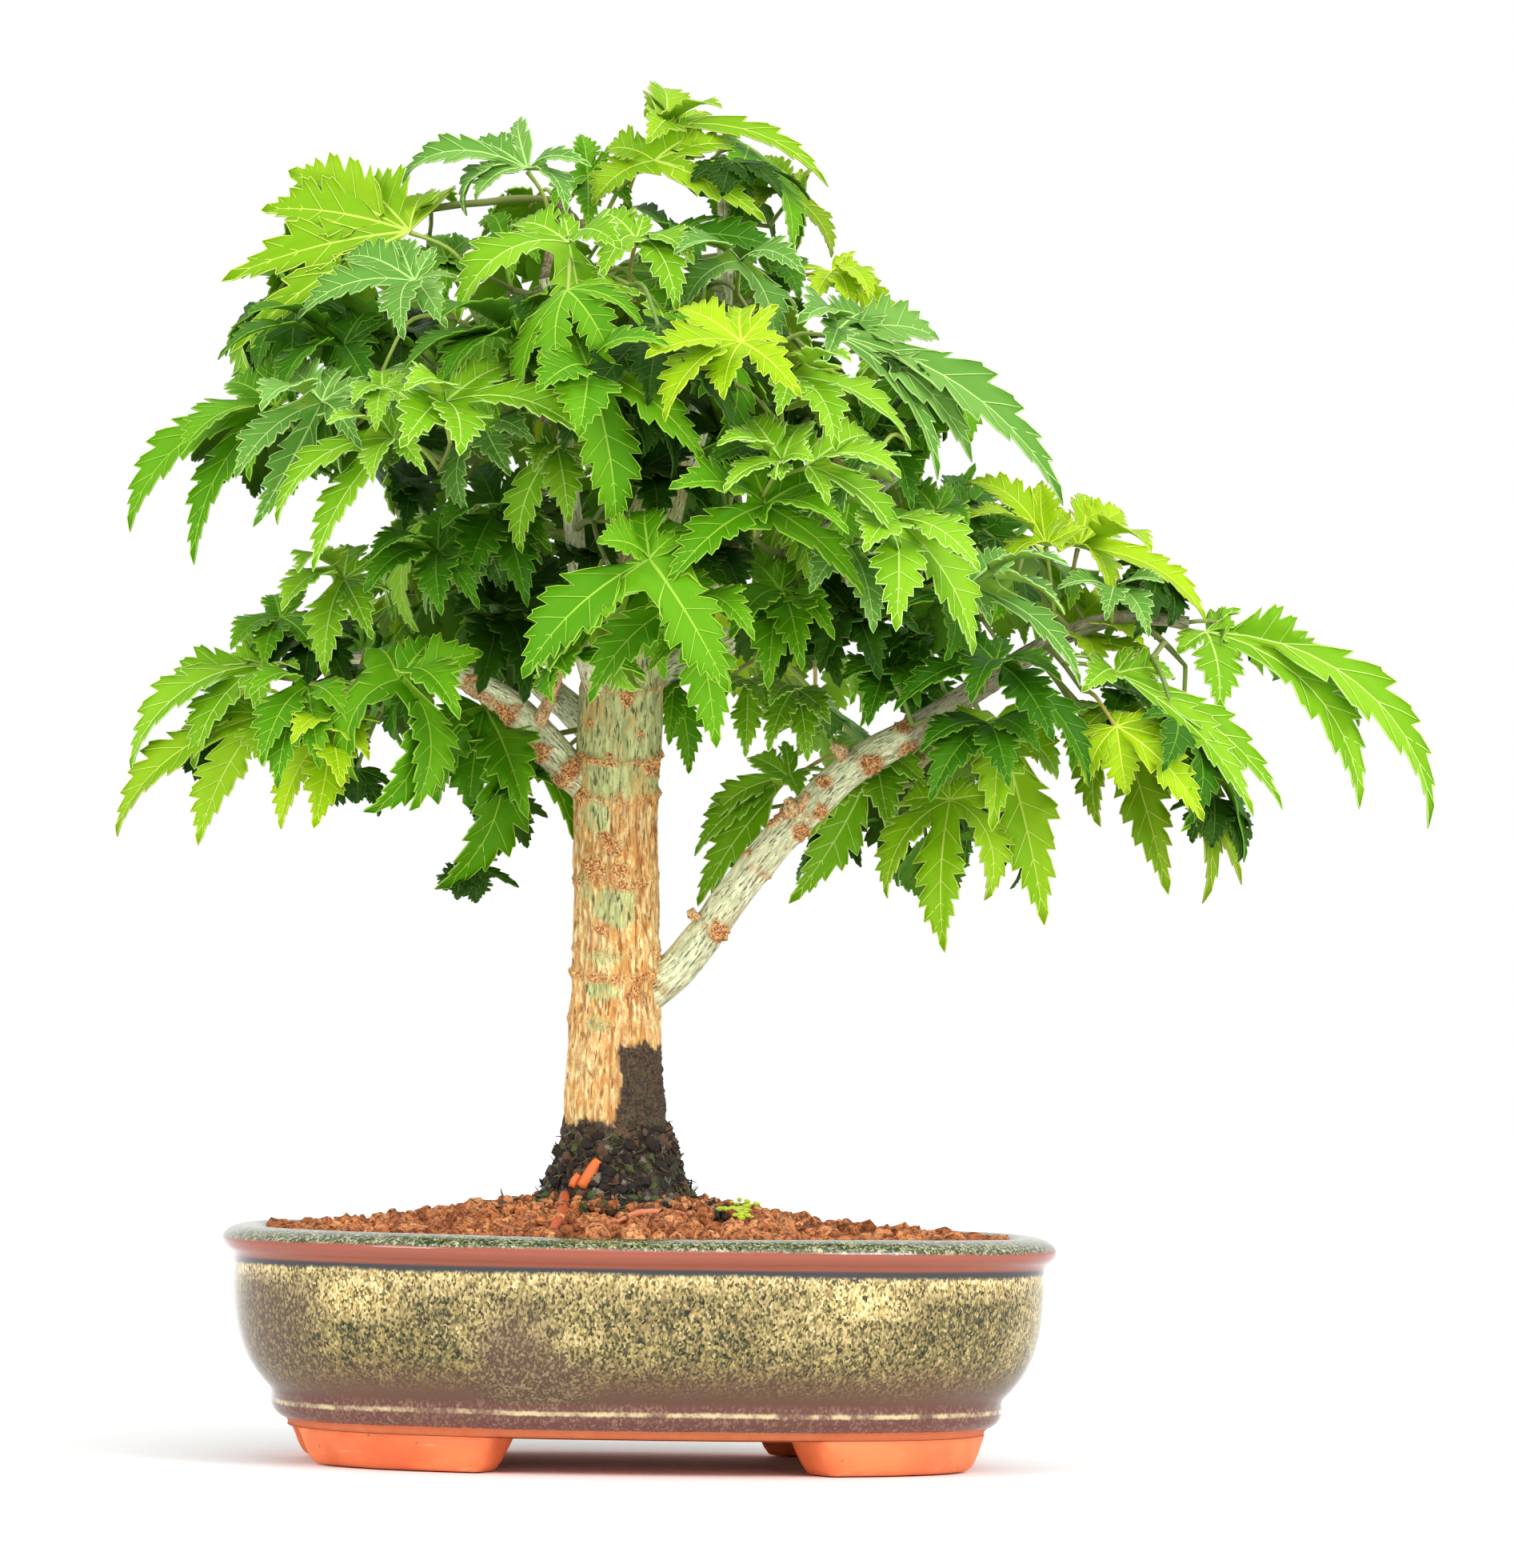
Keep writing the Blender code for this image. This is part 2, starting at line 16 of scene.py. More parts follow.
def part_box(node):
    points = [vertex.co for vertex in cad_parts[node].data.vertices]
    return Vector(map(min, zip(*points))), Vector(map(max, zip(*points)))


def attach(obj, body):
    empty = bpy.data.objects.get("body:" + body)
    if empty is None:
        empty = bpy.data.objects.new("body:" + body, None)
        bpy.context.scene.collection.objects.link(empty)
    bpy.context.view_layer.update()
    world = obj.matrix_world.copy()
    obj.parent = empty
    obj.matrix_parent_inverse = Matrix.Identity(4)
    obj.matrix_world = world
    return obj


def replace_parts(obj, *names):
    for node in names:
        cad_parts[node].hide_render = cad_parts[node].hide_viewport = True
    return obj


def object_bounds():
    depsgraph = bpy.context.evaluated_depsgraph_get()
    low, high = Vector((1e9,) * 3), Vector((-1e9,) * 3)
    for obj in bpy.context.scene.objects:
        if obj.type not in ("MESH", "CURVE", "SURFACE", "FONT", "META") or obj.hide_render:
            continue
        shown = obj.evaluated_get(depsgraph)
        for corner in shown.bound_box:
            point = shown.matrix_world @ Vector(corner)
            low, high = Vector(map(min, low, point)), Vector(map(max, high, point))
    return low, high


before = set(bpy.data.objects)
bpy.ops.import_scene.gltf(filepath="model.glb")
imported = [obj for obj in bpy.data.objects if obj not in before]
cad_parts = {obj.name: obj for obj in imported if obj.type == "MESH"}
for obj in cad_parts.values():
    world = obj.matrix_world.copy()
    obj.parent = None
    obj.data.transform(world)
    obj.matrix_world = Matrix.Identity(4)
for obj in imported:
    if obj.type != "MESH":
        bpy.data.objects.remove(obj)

CAD_BOX = [list(map(float, corner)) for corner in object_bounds()]
MM = 0.001
IMAGE = (1893.0, 1960.0)
TURN = math.radians(-6.0)               # the plant's front frame in the row frame
POT_LOW, POT_HIGH = (np.array(c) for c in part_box("pot"))
POT_MID = (POT_LOW + POT_HIGH) / 2 * np.array([1.0, 1.0, 0.0])
TURNED = np.array([[math.cos(TURN), -math.sin(TURN), 0.0], [math.sin(TURN), math.cos(TURN), 0.0], [0.0, 0.0, 1.0]])
rng = np.random.default_rng(20240611)


def row(points):
    """Front-frame millimetres to row-frame metres."""
    return np.asarray(points, float) @ TURNED.T * MM + POT_MID


def front(points):
    """Row-frame metres to front-frame millimetres."""
    return (np.asarray(points, float) - POT_MID) @ TURNED / MM


def pot_row(points):
    """Millimetres in the pot's own frame (its long side along X) to row-frame metres."""
    return np.asarray(points, float) * MM + POT_MID


# ---- camera ------------------------------------------------------------------
CAMERA_AT = np.array([0.0, -1700.0, 100.0])
CAMERA_TO = np.array([24.7, 0.0, 155.1])
CAMERA_ROLL = math.radians(1.1)
PIXELS_PER_MM = 5.48                     # at the middle of the pot
SENSOR = 36.0
FOCAL = PIXELS_PER_MM * 1700.0 * SENSOR / IMAGE[0]

view_dir = (CAMERA_TO - CAMERA_AT) / np.linalg.norm(CAMERA_TO - CAMERA_AT)
level_right = np.cross(view_dir, [0.0, 0.0, 1.0])
level_right /= np.linalg.norm(level_right)
level_up = np.cross(level_right, view_dir)
cam_right = level_right * math.cos(CAMERA_ROLL) + level_up * math.sin(CAMERA_ROLL)
cam_up = -level_right * math.sin(CAMERA_ROLL) + level_up * math.cos(CAMERA_ROLL)


def at_pixel(u, v, away):
    """The front-frame point seen at pixel (u, v) in the plane `away` mm behind the pot's middle."""
    step = SENSOR / IMAGE[0]
    ray = view_dir * FOCAL + cam_right * (u - IMAGE[0] / 2) * step + cam_up * (IMAGE[1] / 2 - v) * step
    return CAMERA_AT + ray * ((away - CAMERA_AT[1]) / ray[1])


def pixel_of(place):
    """Where the camera sees a front-frame point."""
    gap = np.asarray(place, float) - CAMERA_AT
    scale = FOCAL * IMAGE[0] / SENSOR / (gap @ view_dir)
    return IMAGE[0] / 2 + gap @ cam_right * scale, IMAGE[1] / 2 - gap @ cam_up * scale


def make_camera():
    data = bpy.data.cameras.new("camera")
    data.sensor_width = SENSOR
    data.sensor_fit = "HORIZONTAL"
    data.lens = FOCAL
    data.clip_start, data.clip_end = 0.05, 20.0
    obj = bpy.data.objects.new("camera", data)
    bpy.context.scene.collection.objects.link(obj)
    axes = [TURNED @ a for a in (cam_right, cam_up, -view_dir)]
    place = Matrix.Identity(4)
    for column, axis in enumerate(axes):
        for line in range(3):
            place[line][column] = axis[line]
    for line, value in enumerate(row(CAMERA_AT)):
        place[line][3] = value
    obj.matrix_world = place
    bpy.context.scene.camera = obj


# ---- materials ---------------------------------------------------------------

def new_material(name, base=None, rough=0.5, **settings):
    mat = bpy.data.materials.new(name)
    mat.use_nodes = True
    shader = mat.node_tree.nodes["Principled BSDF"]
    if base:
        shader.inputs["Base Color"].default_value = (*base, 1.0)
    shader.inputs["Roughness"].default_value = rough
    for key, value in settings.items():
        shader.inputs[key.replace("_", " ")].default_value = value
    return mat


class Graph:
    """Short names for building a node tree."""

    def __init__(self, mat):
        self.tree = mat.node_tree
        self.shader = self.tree.nodes["Principled BSDF"]

    def node(self, kind, **settings):
        made = self.tree.nodes.new(kind)
        for key, value in settings.items():
            setattr(made, key, value)
        return made

    def link(self, a, b):
        self.tree.links.new(a, b)

    def coords(self, scale=(1, 1, 1)):
        where = self.node("ShaderNodeTexCoord").outputs["Object"]
        mapping = self.node("ShaderNodeMapping")
        mapping.inputs["Scale"].default_value = scale
        self.link(where, mapping.inputs["Vector"])
        return mapping.outputs["Vector"]

    def height(self):
        split = self.node("ShaderNodeSeparateXYZ")
        self.link(self.node("ShaderNodeTexCoord").outputs["Object"], split.inputs[0])
        return split.outputs["Z"]

    def noise(self, vector, scale, detail=3.0, rough=0.55, distortion=0.0):
        made = self.node("ShaderNodeTexNoise")
        made.inputs["Scale"].default_value = scale
        made.inputs["Detail"].default_value = detail
        made.inputs["Roughness"].default_value = rough
        made.inputs["Distortion"].default_value = distortion
        self.link(vector, made.inputs["Vector"])
        return made.outputs["Fac"]

    def voronoi(self, vector, scale, feature="F1", out="Distance"):
        made = self.node("ShaderNodeTexVoronoi", feature=feature)
        made.inputs["Scale"].default_value = scale
        self.link(vector, made.inputs["Vector"])
        return made.outputs[out]

    def ramp(self, value, stops, mode="LINEAR"):
        made = self.node("ShaderNodeValToRGB")
        made.color_ramp.interpolation = mode
        elements = made.color_ramp.elements
        while len(elements) > 1:
            elements.remove(elements[-1])
        for index, (place, colour) in enumerate(stops):
            if isinstance(colour, (int, float)):
                colour = (colour, colour, colour)
            element = elements[0] if index == 0 else elements.new(place)
            element.position = place
            element.color = (*colour, 1.0)
        self.link(value, made.inputs[0])
        return made.outputs[0]

    def mix(self, fac, a, b, blend="MIX"):
        made = self.node("ShaderNodeMix", data_type="RGBA", blend_type=blend)
        for value, slot in ((fac, 0), (a, 6), (b, 7)):
            if hasattr(value, "links") or hasattr(value, "is_linked"):
                self.link(value, made.inputs[slot])
            elif slot == 0:
                made.inputs[0].default_value = value
            else:
                made.inputs[slot].default_value = (*value, 1.0)
        return made.outputs[2]

    def math(self, operation, a, b=0.0, c=None):
        made = self.node("ShaderNodeMath", operation=operation)
        for value, slot in ((a, 0), (b, 1), (c, 2)):
            if value is None:
                continue
            if hasattr(value, "is_linked"):
                self.link(value, made.inputs[slot])
            else:
                made.inputs[slot].default_value = value
        return made.outputs[0]

    def span(self, value, low, high, to_low=0.0, to_high=1.0):
        made = self.node("ShaderNodeMapRange")
        for name, number in (("From Min", low), ("From Max", high), ("To Min", to_low), ("To Max", to_high)):
            made.inputs[name].default_value = number
        self.link(value, made.inputs["Value"])
        return made.outputs[0]

    def attribute(self, name):
        return self.node("ShaderNodeAttribute", attribute_name=name).outputs["Fac"]

    def attribute_at(self, name, scale):
        mapping = self.node("ShaderNodeMapping")
        mapping.inputs["Scale"].default_value = scale
        self.link(self.node("ShaderNodeAttribute", attribute_name=name).outputs["Vector"], mapping.inputs["Vector"])
        return mapping.outputs["Vector"]

    def bump(self, height, strength, distance=0.001):
        made = self.node("ShaderNodeBump")
        made.inputs["Strength"].default_value = strength
        made.inputs["Distance"].default_value = distance
        self.link(height, made.inputs["Height"])
        self.link(made.outputs[0], self.shader.inputs["Normal"])

    def colour(self, value):
        self.link(value, self.shader.inputs["Base Color"])

    def roughness(self, value):
        self.link(value, self.shader.inputs["Roughness"])


# ---- mesh making -------------------------------------------------------------

def mesh_piece(name, points, faces, materials, indices=None, smooth=True, values=None):
    """A mesh object from row-frame points and a list of face arrays (triangles or quads)."""
    points = np.asarray(points, np.float32)
    faces = [np.asarray(f, np.int32) for f in faces if len(f)]
    mesh = bpy.data.meshes.new(name)
    mesh.vertices.add(len(points))
    mesh.vertices.foreach_set("co", points.ravel())
    sizes = np.concatenate([np.full(len(f), f.shape[1], np.int32) for f in faces])
    loops = np.concatenate([f.ravel() for f in faces])
    mesh.loops.add(len(loops))
    mesh.loops.foreach_set("vertex_index", loops)
    mesh.polygons.add(len(sizes))
    mesh.polygons.foreach_set("loop_start", np.concatenate([[0], np.cumsum(sizes)[:-1]]).astype(np.int32))
    mesh.polygons.foreach_set("loop_total", sizes)
    for mat in materials:
        mesh.materials.append(mat)
    if indices is not None:
        mesh.polygons.foreach_set("material_index", np.asarray(indices, np.int32))
    mesh.polygons.foreach_set("use_smooth", np.full(len(sizes), smooth))
    for key, data in (values or {}).items():
        data = np.asarray(data, np.float32)
        layer = mesh.attributes.new(key, "FLOAT" if data.ndim == 1 else "FLOAT_VECTOR", "POINT")
        layer.data.foreach_set("value" if data.ndim == 1 else "vector", data.ravel())
    mesh.update()
    mesh.validate()
    obj = bpy.data.objects.new(name, mesh)
    bpy.context.scene.collection.objects.link(obj)
    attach(obj, "root")
    return obj


class Gather:
    """Collects many small meshes of one kind into one."""

    def __init__(self):
        self.points, self.faces, self.indices, self.count = [], [], [], 0

    def add(self, points, triangles, index=None):
        self.points.append(np.asarray(points, float))
        self.faces.append(np.asarray(triangles) + self.count)
        self.indices.append(np.zeros(len(triangles), int) if index is None else np.asarray(index))
        self.count += len(points)

    def total(self):
        return sum(len(f) for f in self.faces)

    def piece(self, name, materials, slot, smooth=True, convert=row):
        if not self.points:
            return None
        return mesh_piece(
            name, convert(np.concatenate(self.points)), [np.concatenate(self.faces)], materials,
            np.concatenate(self.indices), smooth,
        )


def smooth_line(points, every=3.0):
    """Catmull-Rom points through rows of numbers whose first three are a place."""
    points = np.asarray(points, float)
    out = []
    for i in range(len(points) - 1):
        a, b, c, d = (points[min(max(i + k, 0), len(points) - 1)] for k in (-1, 0, 1, 2))
        steps = max(1, int(round(np.linalg.norm(c[:3] - b[:3]) / every)))
        for k in range(steps):
            t = k / steps
            out.append(0.5 * (2 * b + (c - a) * t + (2 * a - 5 * b + 4 * c - d) * t * t + (3 * b - a - 3 * c + d) * t ** 3))
    out.append(points[-1])
    return np.array(out)


def frames(line):
    """Tangents and two turning-free normals along a line of points."""
    tangents = np.gradient(line, axis=0)
    tangents /= np.maximum(np.linalg.norm(tangents, axis=1, keepdims=True), 1e-9)
    side = np.cross(tangents[0], [0.0, -1.0, 0.0])
    if np.linalg.norm(side) < 0.2:
        side = np.cross(tangents[0], [1.0, 0.0, 0.0])
    side /= np.linalg.norm(side)
    sides = [side]
    for t in tangents[1:]:
        side = side - t * np.dot(side, t)
        side /= max(np.linalg.norm(side), 1e-9)
        sides.append(side)
    sides = np.array(sides)
    return tangents, sides, np.cross(tangents, sides)


def tube(line, radii, sides=6, capped=True):
    """Points and triangles of a round tapered tube."""
    line, radii = np.asarray(line, float), np.asarray(radii, float)
    _, a, b = frames(line)
    turn = np.arange(sides) / sides * math.tau
    ring = np.cos(turn)[None, :, None] * a[:, None, :] + np.sin(turn)[None, :, None] * b[:, None, :]
    points = (line[:, None, :] + ring * radii[:, None, None]).reshape(-1, 3)
    triangles = []
    n = len(line)
    i = np.arange(n - 1)[:, None] * sides
    j = np.arange(sides)[None, :]
    k = (j + 1) % sides
    p, q, r, s = (i + j).ravel(), (i + k).ravel(), (i + sides + k).ravel(), (i + sides + j).ravel()
    triangles = np.concatenate([np.stack([p, q, r], 1), np.stack([p, r, s], 1)])
    if capped:
        points = np.concatenate([points, line[:1], line[-1:]])
        first, last = n * sides, n * sides + 1
        jj, kk = np.arange(sides), (np.arange(sides) + 1) % sides
        cap_a = np.stack([kk, jj, np.full(sides, first)], 1)
        top = (n - 1) * sides
        cap_b = np.stack([top + jj, top + kk, np.full(sides, last)], 1)
        triangles = np.concatenate([triangles, cap_a, cap_b])
    return points, triangles


def grid_faces(rows, columns, closed=True):
    i = np.arange(rows - 1)[:, None] * columns
    j = np.arange(columns if closed else columns - 1)[None, :]
    k = (j + 1) % columns
    return np.stack([(i + j).ravel(), (i + k).ravel(), (i + columns + k).ravel(), (i + columns + j).ravel()], 1)


def noise_at(points, scale, seed=0.0):
    """Smooth noise of about -1 to 1 at each point."""
    return np.array([noise.noise(Vector(p) * scale + Vector((seed, seed * 1.7, -seed))) for p in points])


def step(x, low, high):
    t = np.clip((x - low) / (high - low), 0.0, 1.0)
    return t * t * (3 - 2 * t)


# ---- pot ---------------------------------------------------------------------
POT_HALF_LENGTH, POT_HALF_DEPTH, POT_SQUARENESS = 95.0, 66.0, 2.5
# (inset from the lip's widest line, height): floor, up the inside, over the lip, down the outside
POT_INSIDE = ((40.0, 14.0), (20.0, 14.0), (16.5, 15.0), (14.4, 18.5), (12.6, 24.0), (11.4, 31.0), (10.8, 38.0), (10.2, 45.0))
POT_OUTSIDE = (
    (9.7, 50.0), (9.2, 51.7), (8.2, 52.6), (6.6, 52.9), (4.8, 52.7), (3.0, 52.3), (1.5, 51.6), (0.5, 50.7), (0.1, 49.6),
    (0.4, 48.5), (1.2, 47.6), (2.1, 46.9), (2.7, 46.1), (2.8, 44.0), (2.8, 41.0), (2.85, 38.5), (3.0, 36.0), (3.3, 33.0), (3.7, 30.5),
    (4.3, 28.0), (5.2, 25.4), (6.4, 22.8), (7.9, 20.4), (9.5, 18.4), (10.9, 16.9), (11.7, 15.9), (11.9, 15.0),
    (11.75, 14.0), (11.8, 13.0), (12.1, 12.0), (12.8, 10.9), (13.9, 10.0), (15.0, 9.5), (15.6, 8.9), (15.8, 8.1),
)
FOOT_OUTSIDE = ((15.9, 8.0), (16.05, 7.6), (15.75, 7.1), (15.9, 6.0), (16.3, 4.4), (16.9, 2.6), (17.7, 1.1), (18.8, 0.25), (20.4, 0.0))
FOOT_INSIDE = ((26.5, 0.0), (27.6, 0.6), (28.2, 2.0), (28.6, 8.0))
ARCH_MID_X, ARCH_HALF_X, ARCH_HALF_Y = 0.0, 35.8, 13.0
ARCH_TOP = 7.9


def oval(count):
    turn = (np.arange(count) + 0.5) / count * math.tau
    # spread the steps so that the flat sides and round ends are evenly divided
    c, s = np.cos(turn), np.sin(turn)
    power = 2.0 / POT_SQUARENESS
    dense = np.linspace(0, math.tau, 20001)
    dc, ds = np.cos(dense), np.sin(dense)
    px = np.sign(dc) * np.abs(dc) ** power * POT_HALF_LENGTH
    py = np.sign(ds) * np.abs(ds) ** power * POT_HALF_DEPTH
    length = np.concatenate([[0], np.cumsum(np.hypot(np.diff(px), np.diff(py)))])
    where = np.interp(np.arange(count) / count * length[-1], length, dense)
    c, s = np.cos(where), np.sin(where)
    return np.sign(c) * np.abs(c) ** power, np.sign(s) * np.abs(s) ** power


def ring_points(c, s, inset, height):
    return np.stack([c * (POT_HALF_LENGTH - inset), s * (POT_HALF_DEPTH - inset), np.broadcast_to(height, c.shape)], 1)


def dense_profile(points, every=0.7):
    line = smooth_line([(a, 0.0, b) for a, b in points], every)
    return line[:, 0], line[:, 2]


def near_spot(g, at, radii, vector):
    """Fades from 1 at a front-frame spot to 0 at the given distances round it."""
    where = row(at)
    mapping = g.node("ShaderNodeMapping")
    mapping.inputs["Scale"].default_value = [1.0 / (r * MM) for r in radii]
    mapping.inputs["Location"].default_value = [-w / (r * MM) for w, r in zip(where, radii)]
    g.link(vector, mapping.inputs["Vector"])
    length = g.node("ShaderNodeVectorMath", operation="LENGTH")
    g.link(mapping.outputs["Vector"], length.inputs[0])
    return g.span(length.outputs["Value"], 0.35, 1.0, 1.0, 0.0)


def glaze_material():
    """Finely speckled olive and cream over purple-brown glaze, with bands by height and two painted highlights on the
    front; bare clay under its edge.
    """
    mat = new_material("glaze", rough=0.14)
    g = Graph(mat)
    even = g.coords()
    z = g.height()
    wander = g.noise(even, 38.0, 3.0)
    streak = g.noise(g.coords((1.0, 1.0, 0.16)), 900.0, 3.0, 0.65)
    uneven = g.math("ADD", g.math("MULTIPLY", g.math("SUBTRACT", wander, 0.5), 0.005), g.math("MULTIPLY", g.math("SUBTRACT", streak, 0.5), 0.0045))
    level = g.math("ADD", z, uneven)
    # speckle: very fine cells of cream, olive, green and near-black, drawn out downwards a little
    pick = g.node("ShaderNodeSeparateColor")
    g.link(g.voronoi(g.coords((1.0, 1.0, 0.62)), 2300.0, out="Color"), pick.inputs[0])
    clump = g.noise(g.coords((1.0, 1.0, 0.7)), 420.0, 3.0, 0.6)
    fleck = g.math("ADD", g.math("MULTIPLY", pick.outputs[0], 0.62), g.math("MULTIPLY", clump, 0.55))
    speck_dark = g.ramp(fleck, [
        (0.22, (0.012, 0.014, 0.009)), (0.38, (0.050, 0.052, 0.026)), (0.52, (0.130, 0.110, 0.046)), (0.68, (0.245, 0.185, 0.070)),
        (0.86, (0.42, 0.32, 0.12)), (1.0, (0.68, 0.53, 0.24)),
    ])
    speck_light = g.ramp(fleck, [
        (0.22, (0.030, 0.038, 0.016)), (0.38, (0.20, 0.155, 0.050)), (0.55, (0.55, 0.40, 0.14)), (0.74, (0.78, 0.61, 0.28)), (0.95, (0.90, 0.76, 0.46)),
    ])
    patches = g.noise(g.coords((1.0, 1.0, 1.6)), 30.0, 4.0, 0.6)
    cream_band = g.span(level, 0.0388, 0.0442)
    cream_spot = g.math("MULTIPLY", g.ramp(patches, [(0.47, 0.0), (0.70, 1.0)]), g.span(level, 0.021, 0.032))
    cream_and_highlight = g.math("MAXIMUM", g.math("MULTIPLY", cream_band, 0.92), g.math("MULTIPLY", cream_spot, 0.62))
    # two cream patches on the front, just under the lip, where the two lamps' reflections fall: painted highlights
    for at, radii in (((-62.0, -56.0, 39.5), (14.0, 60.0, 8.0)), ((50.0, -60.0, 40.0), (17.0, 60.0, 8.5))):
        cream_and_highlight = g.math("MAXIMUM", cream_and_highlight, near_spot(g, at, radii, even))
    body = g.mix(cream_and_highlight, speck_dark, speck_light)
    low = g.mix(g.span(level, 0.0170, 0.0265), (0.150, 0.080, 0.052), body)
    for at, radii in (((-27.0, -62.0, 25.0), (12.0, 60.0, 15.0)), ((-19.0, -62.0, 20.0), (13.0, 60.0, 9.0)), ((-84.0, -40.0, 30.0), (15.0, 60.0, 22.0))):
        low = g.mix(g.math("MULTIPLY", near_spot(g, at, radii, even), g.math("SUBTRACT", 1.0, cream_band)), low, g.mix(g.span(fleck, 0.55, 0.9), (0.110, 0.070, 0.045), (0.32, 0.24, 0.12)))
    # the groove under the lip, the red-brown band and the speckled lip
    groove = g.mix(g.span(g.math("ADD", z, g.math("MULTIPLY", uneven, 0.35)), 0.0443, 0.0451), low, (0.040, 0.042, 0.046))
    red = g.mix(g.span(z, 0.0458, 0.0464), groove, (0.33, 0.082, 0.046))
    lip_speck = g.ramp(fleck, [(0.25, (0.010, 0.016, 0.008)), (0.45, (0.055, 0.075, 0.030)), (0.68, (0.17, 0.18, 0.085)), (0.92, (0.52, 0.50, 0.32))])
    lip = g.mix(g.span(g.math("ADD", z, g.math("MULTIPLY", uneven, 0.22)), 0.0500, 0.0505), red, lip_speck)
    # the moulding near the foot: a broken cream line over purple-brown
    lined = g.math("ADD", z, g.math("MULTIPLY", uneven, 0.18))
    cream_line = g.math("MULTIPLY", g.span(lined, 0.0130, 0.0134), g.span(lined, 0.0139, 0.0144, 1.0, 0.0))
    cream_line = g.math("MULTIPLY", cream_line, g.ramp(g.noise(even, 150.0, 4.0, 0.7), [(0.42, 0.1), (0.56, 0.9)]))
    moulding = g.mix(g.span(lined, 0.0150, 0.0166), g.mix(g.span(fleck, 0.6, 1.0), (0.150, 0.062, 0.050), (0.30, 0.18, 0.12)), lip)
    moulding = g.mix(cream_line, moulding, (0.70, 0.58, 0.32))
    clay = g.mix(g.noise(even, 260.0, 4.0), (0.56, 0.135, 0.05), (0.72, 0.24, 0.105))
    edge = g.span(g.math("ADD", z, g.math("MULTIPLY", uneven, 0.12)), 0.0098, 0.0101)
    g.colour(g.mix(edge, clay, moulding))
    g.roughness(g.span(edge, 0.0, 1.0, 0.62, 0.12))
    g.link(g.span(z, 0.040, 0.050, 0.20, 0.55), g.shader.inputs["Specular IOR Level"])
    g.shader.inputs["Coat Weight"].default_value = 0.05
    g.shader.inputs["Coat Roughness"].default_value = 0.05
    ripple = g.math("ADD", g.math("MULTIPLY", g.noise(even, 60.0, 2.0), 0.8), g.math("MULTIPLY", clump, 0.25))
    g.bump(ripple, 0.10, 0.0012)
    return mat


def clay_material():
    mat = new_material("bare_clay", rough=0.6)
    g = Graph(mat)
    even = g.coords()
    broad = g.noise(even, 55.0, 3.0)
    grain = g.noise(even, 900.0, 3.0)
    colour = g.mix(g.ramp(broad, [(0.35, 0.0), (0.65, 1.0)]), (0.76, 0.150, 0.042), (0.94, 0.250, 0.080))
    spots = g.voronoi(even, 240.0)
    colour = g.mix(g.ramp(spots, [(0.06, 0.55), (0.11, 0.0)]), colour, (0.24, 0.07, 0.03))
    scuff = g.noise(g.coords((1.0, 1.0, 6.0)), 120.0, 4.0, 0.7)
    colour = g.mix(g.ramp(scuff, [(0.62, 0.0), (0.74, 0.45)]), colour, (0.86, 0.50, 0.30))
    g.colour(colour)
    g.roughness(g.span(grain, 0.3, 0.7, 0.45, 0.7))
    g.bump(g.math("ADD", grain, g.math("MULTIPLY", broad, 0.6)), 0.25, 0.0004)
    return mat


def make_pot():
    count = 300
    c, s = oval(count)
    insets, heights = dense_profile(POT_INSIDE + POT_OUTSIDE)
    rings = []
    turn = np.arange(count) / count * math.tau
    wave = 0.28 * np.sin(2 * turn + 0.7) + 0.18 * np.sin(3 * turn + 2.0) + 0.10 * np.sin(7 * turn)
    lip_wave = 0.30 * np.sin(2 * turn + 2.2) + 0.16 * np.sin(5 * turn + 0.4)
    for inset, height in zip(insets, heights):
        free = step(np.array(height), 12.0, 40.0) * (0.0 if inset > 9.9 and height < 45 else 1.0)
        rings.append(ring_points(c, s, inset + 0.15 + np.abs(wave) * 0.5 * free, height + lip_wave * free * 0.6))
    # closed across the floor inside and under the foot ring
    under = ring_points(c, s, 30.0, 8.5)
    rings.append(under)
    points = np.concatenate(rings)
    faces = grid_faces(len(rings), count)
    middle_top, middle_low = len(points), len(points) + 1
    points = np.concatenate([points, [[0, 0, 14.0], [0, 0, 8.5]]])
    j = np.arange(count)
    k = (j + 1) % count
    low = (len(rings) - 1) * count
    caps = np.concatenate([np.stack([k, j, np.full(count, middle_top)], 1), np.stack([low + j, low + k, np.full(count, middle_low)], 1)])
    body = mesh_piece("pot_body", pot_row(points), [faces, caps], [glaze_material()])
    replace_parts(body, "pot")

    # foot ring with an ogee arch cut in each side
    insets, heights = dense_profile(FOOT_OUTSIDE + FOOT_INSIDE, 0.6)
    base = ring_points(c, s, 17.0, 0.0)
    open_x = 1.0 - step(np.abs(base[:, 0] - ARCH_MID_X), ARCH_HALF_X - 1.0, ARCH_HALF_X + 5.0)
    open_y = 1.0 - step(np.abs(base[:, 1]), ARCH_HALF_Y - 1.0, ARCH_HALF_Y + 5.0)
    front_side = (np.abs(base[:, 1]) > 30).astype(float)
    lift = np.where(front_side > 0, open_x, open_y)
    lift = np.clip(lift * 1.18 - 0.10 * np.sin(np.pi * np.clip(lift * 1.4 - 0.2, 0, 1)), 0, 1)
    rings = [ring_points(c, s, i, h + (ARCH_TOP - h) * lift * 0.985) for i, h in zip(insets, heights)]
    points = np.concatenate(rings)
    faces = grid_faces(len(rings), count)
    first, last = np.arange(count), (len(rings) - 1) * count + np.arange(count)
    close = np.stack([first, last, np.roll(last, -1), np.roll(first, -1)], 1)
    feet = mesh_piece("pot_feet", pot_row(points), [faces, close], [clay_material()])
    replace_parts(feet, "pot_foot_front_left", "pot_foot_front_right", "pot_foot_back_left", "pot_foot_back_right")


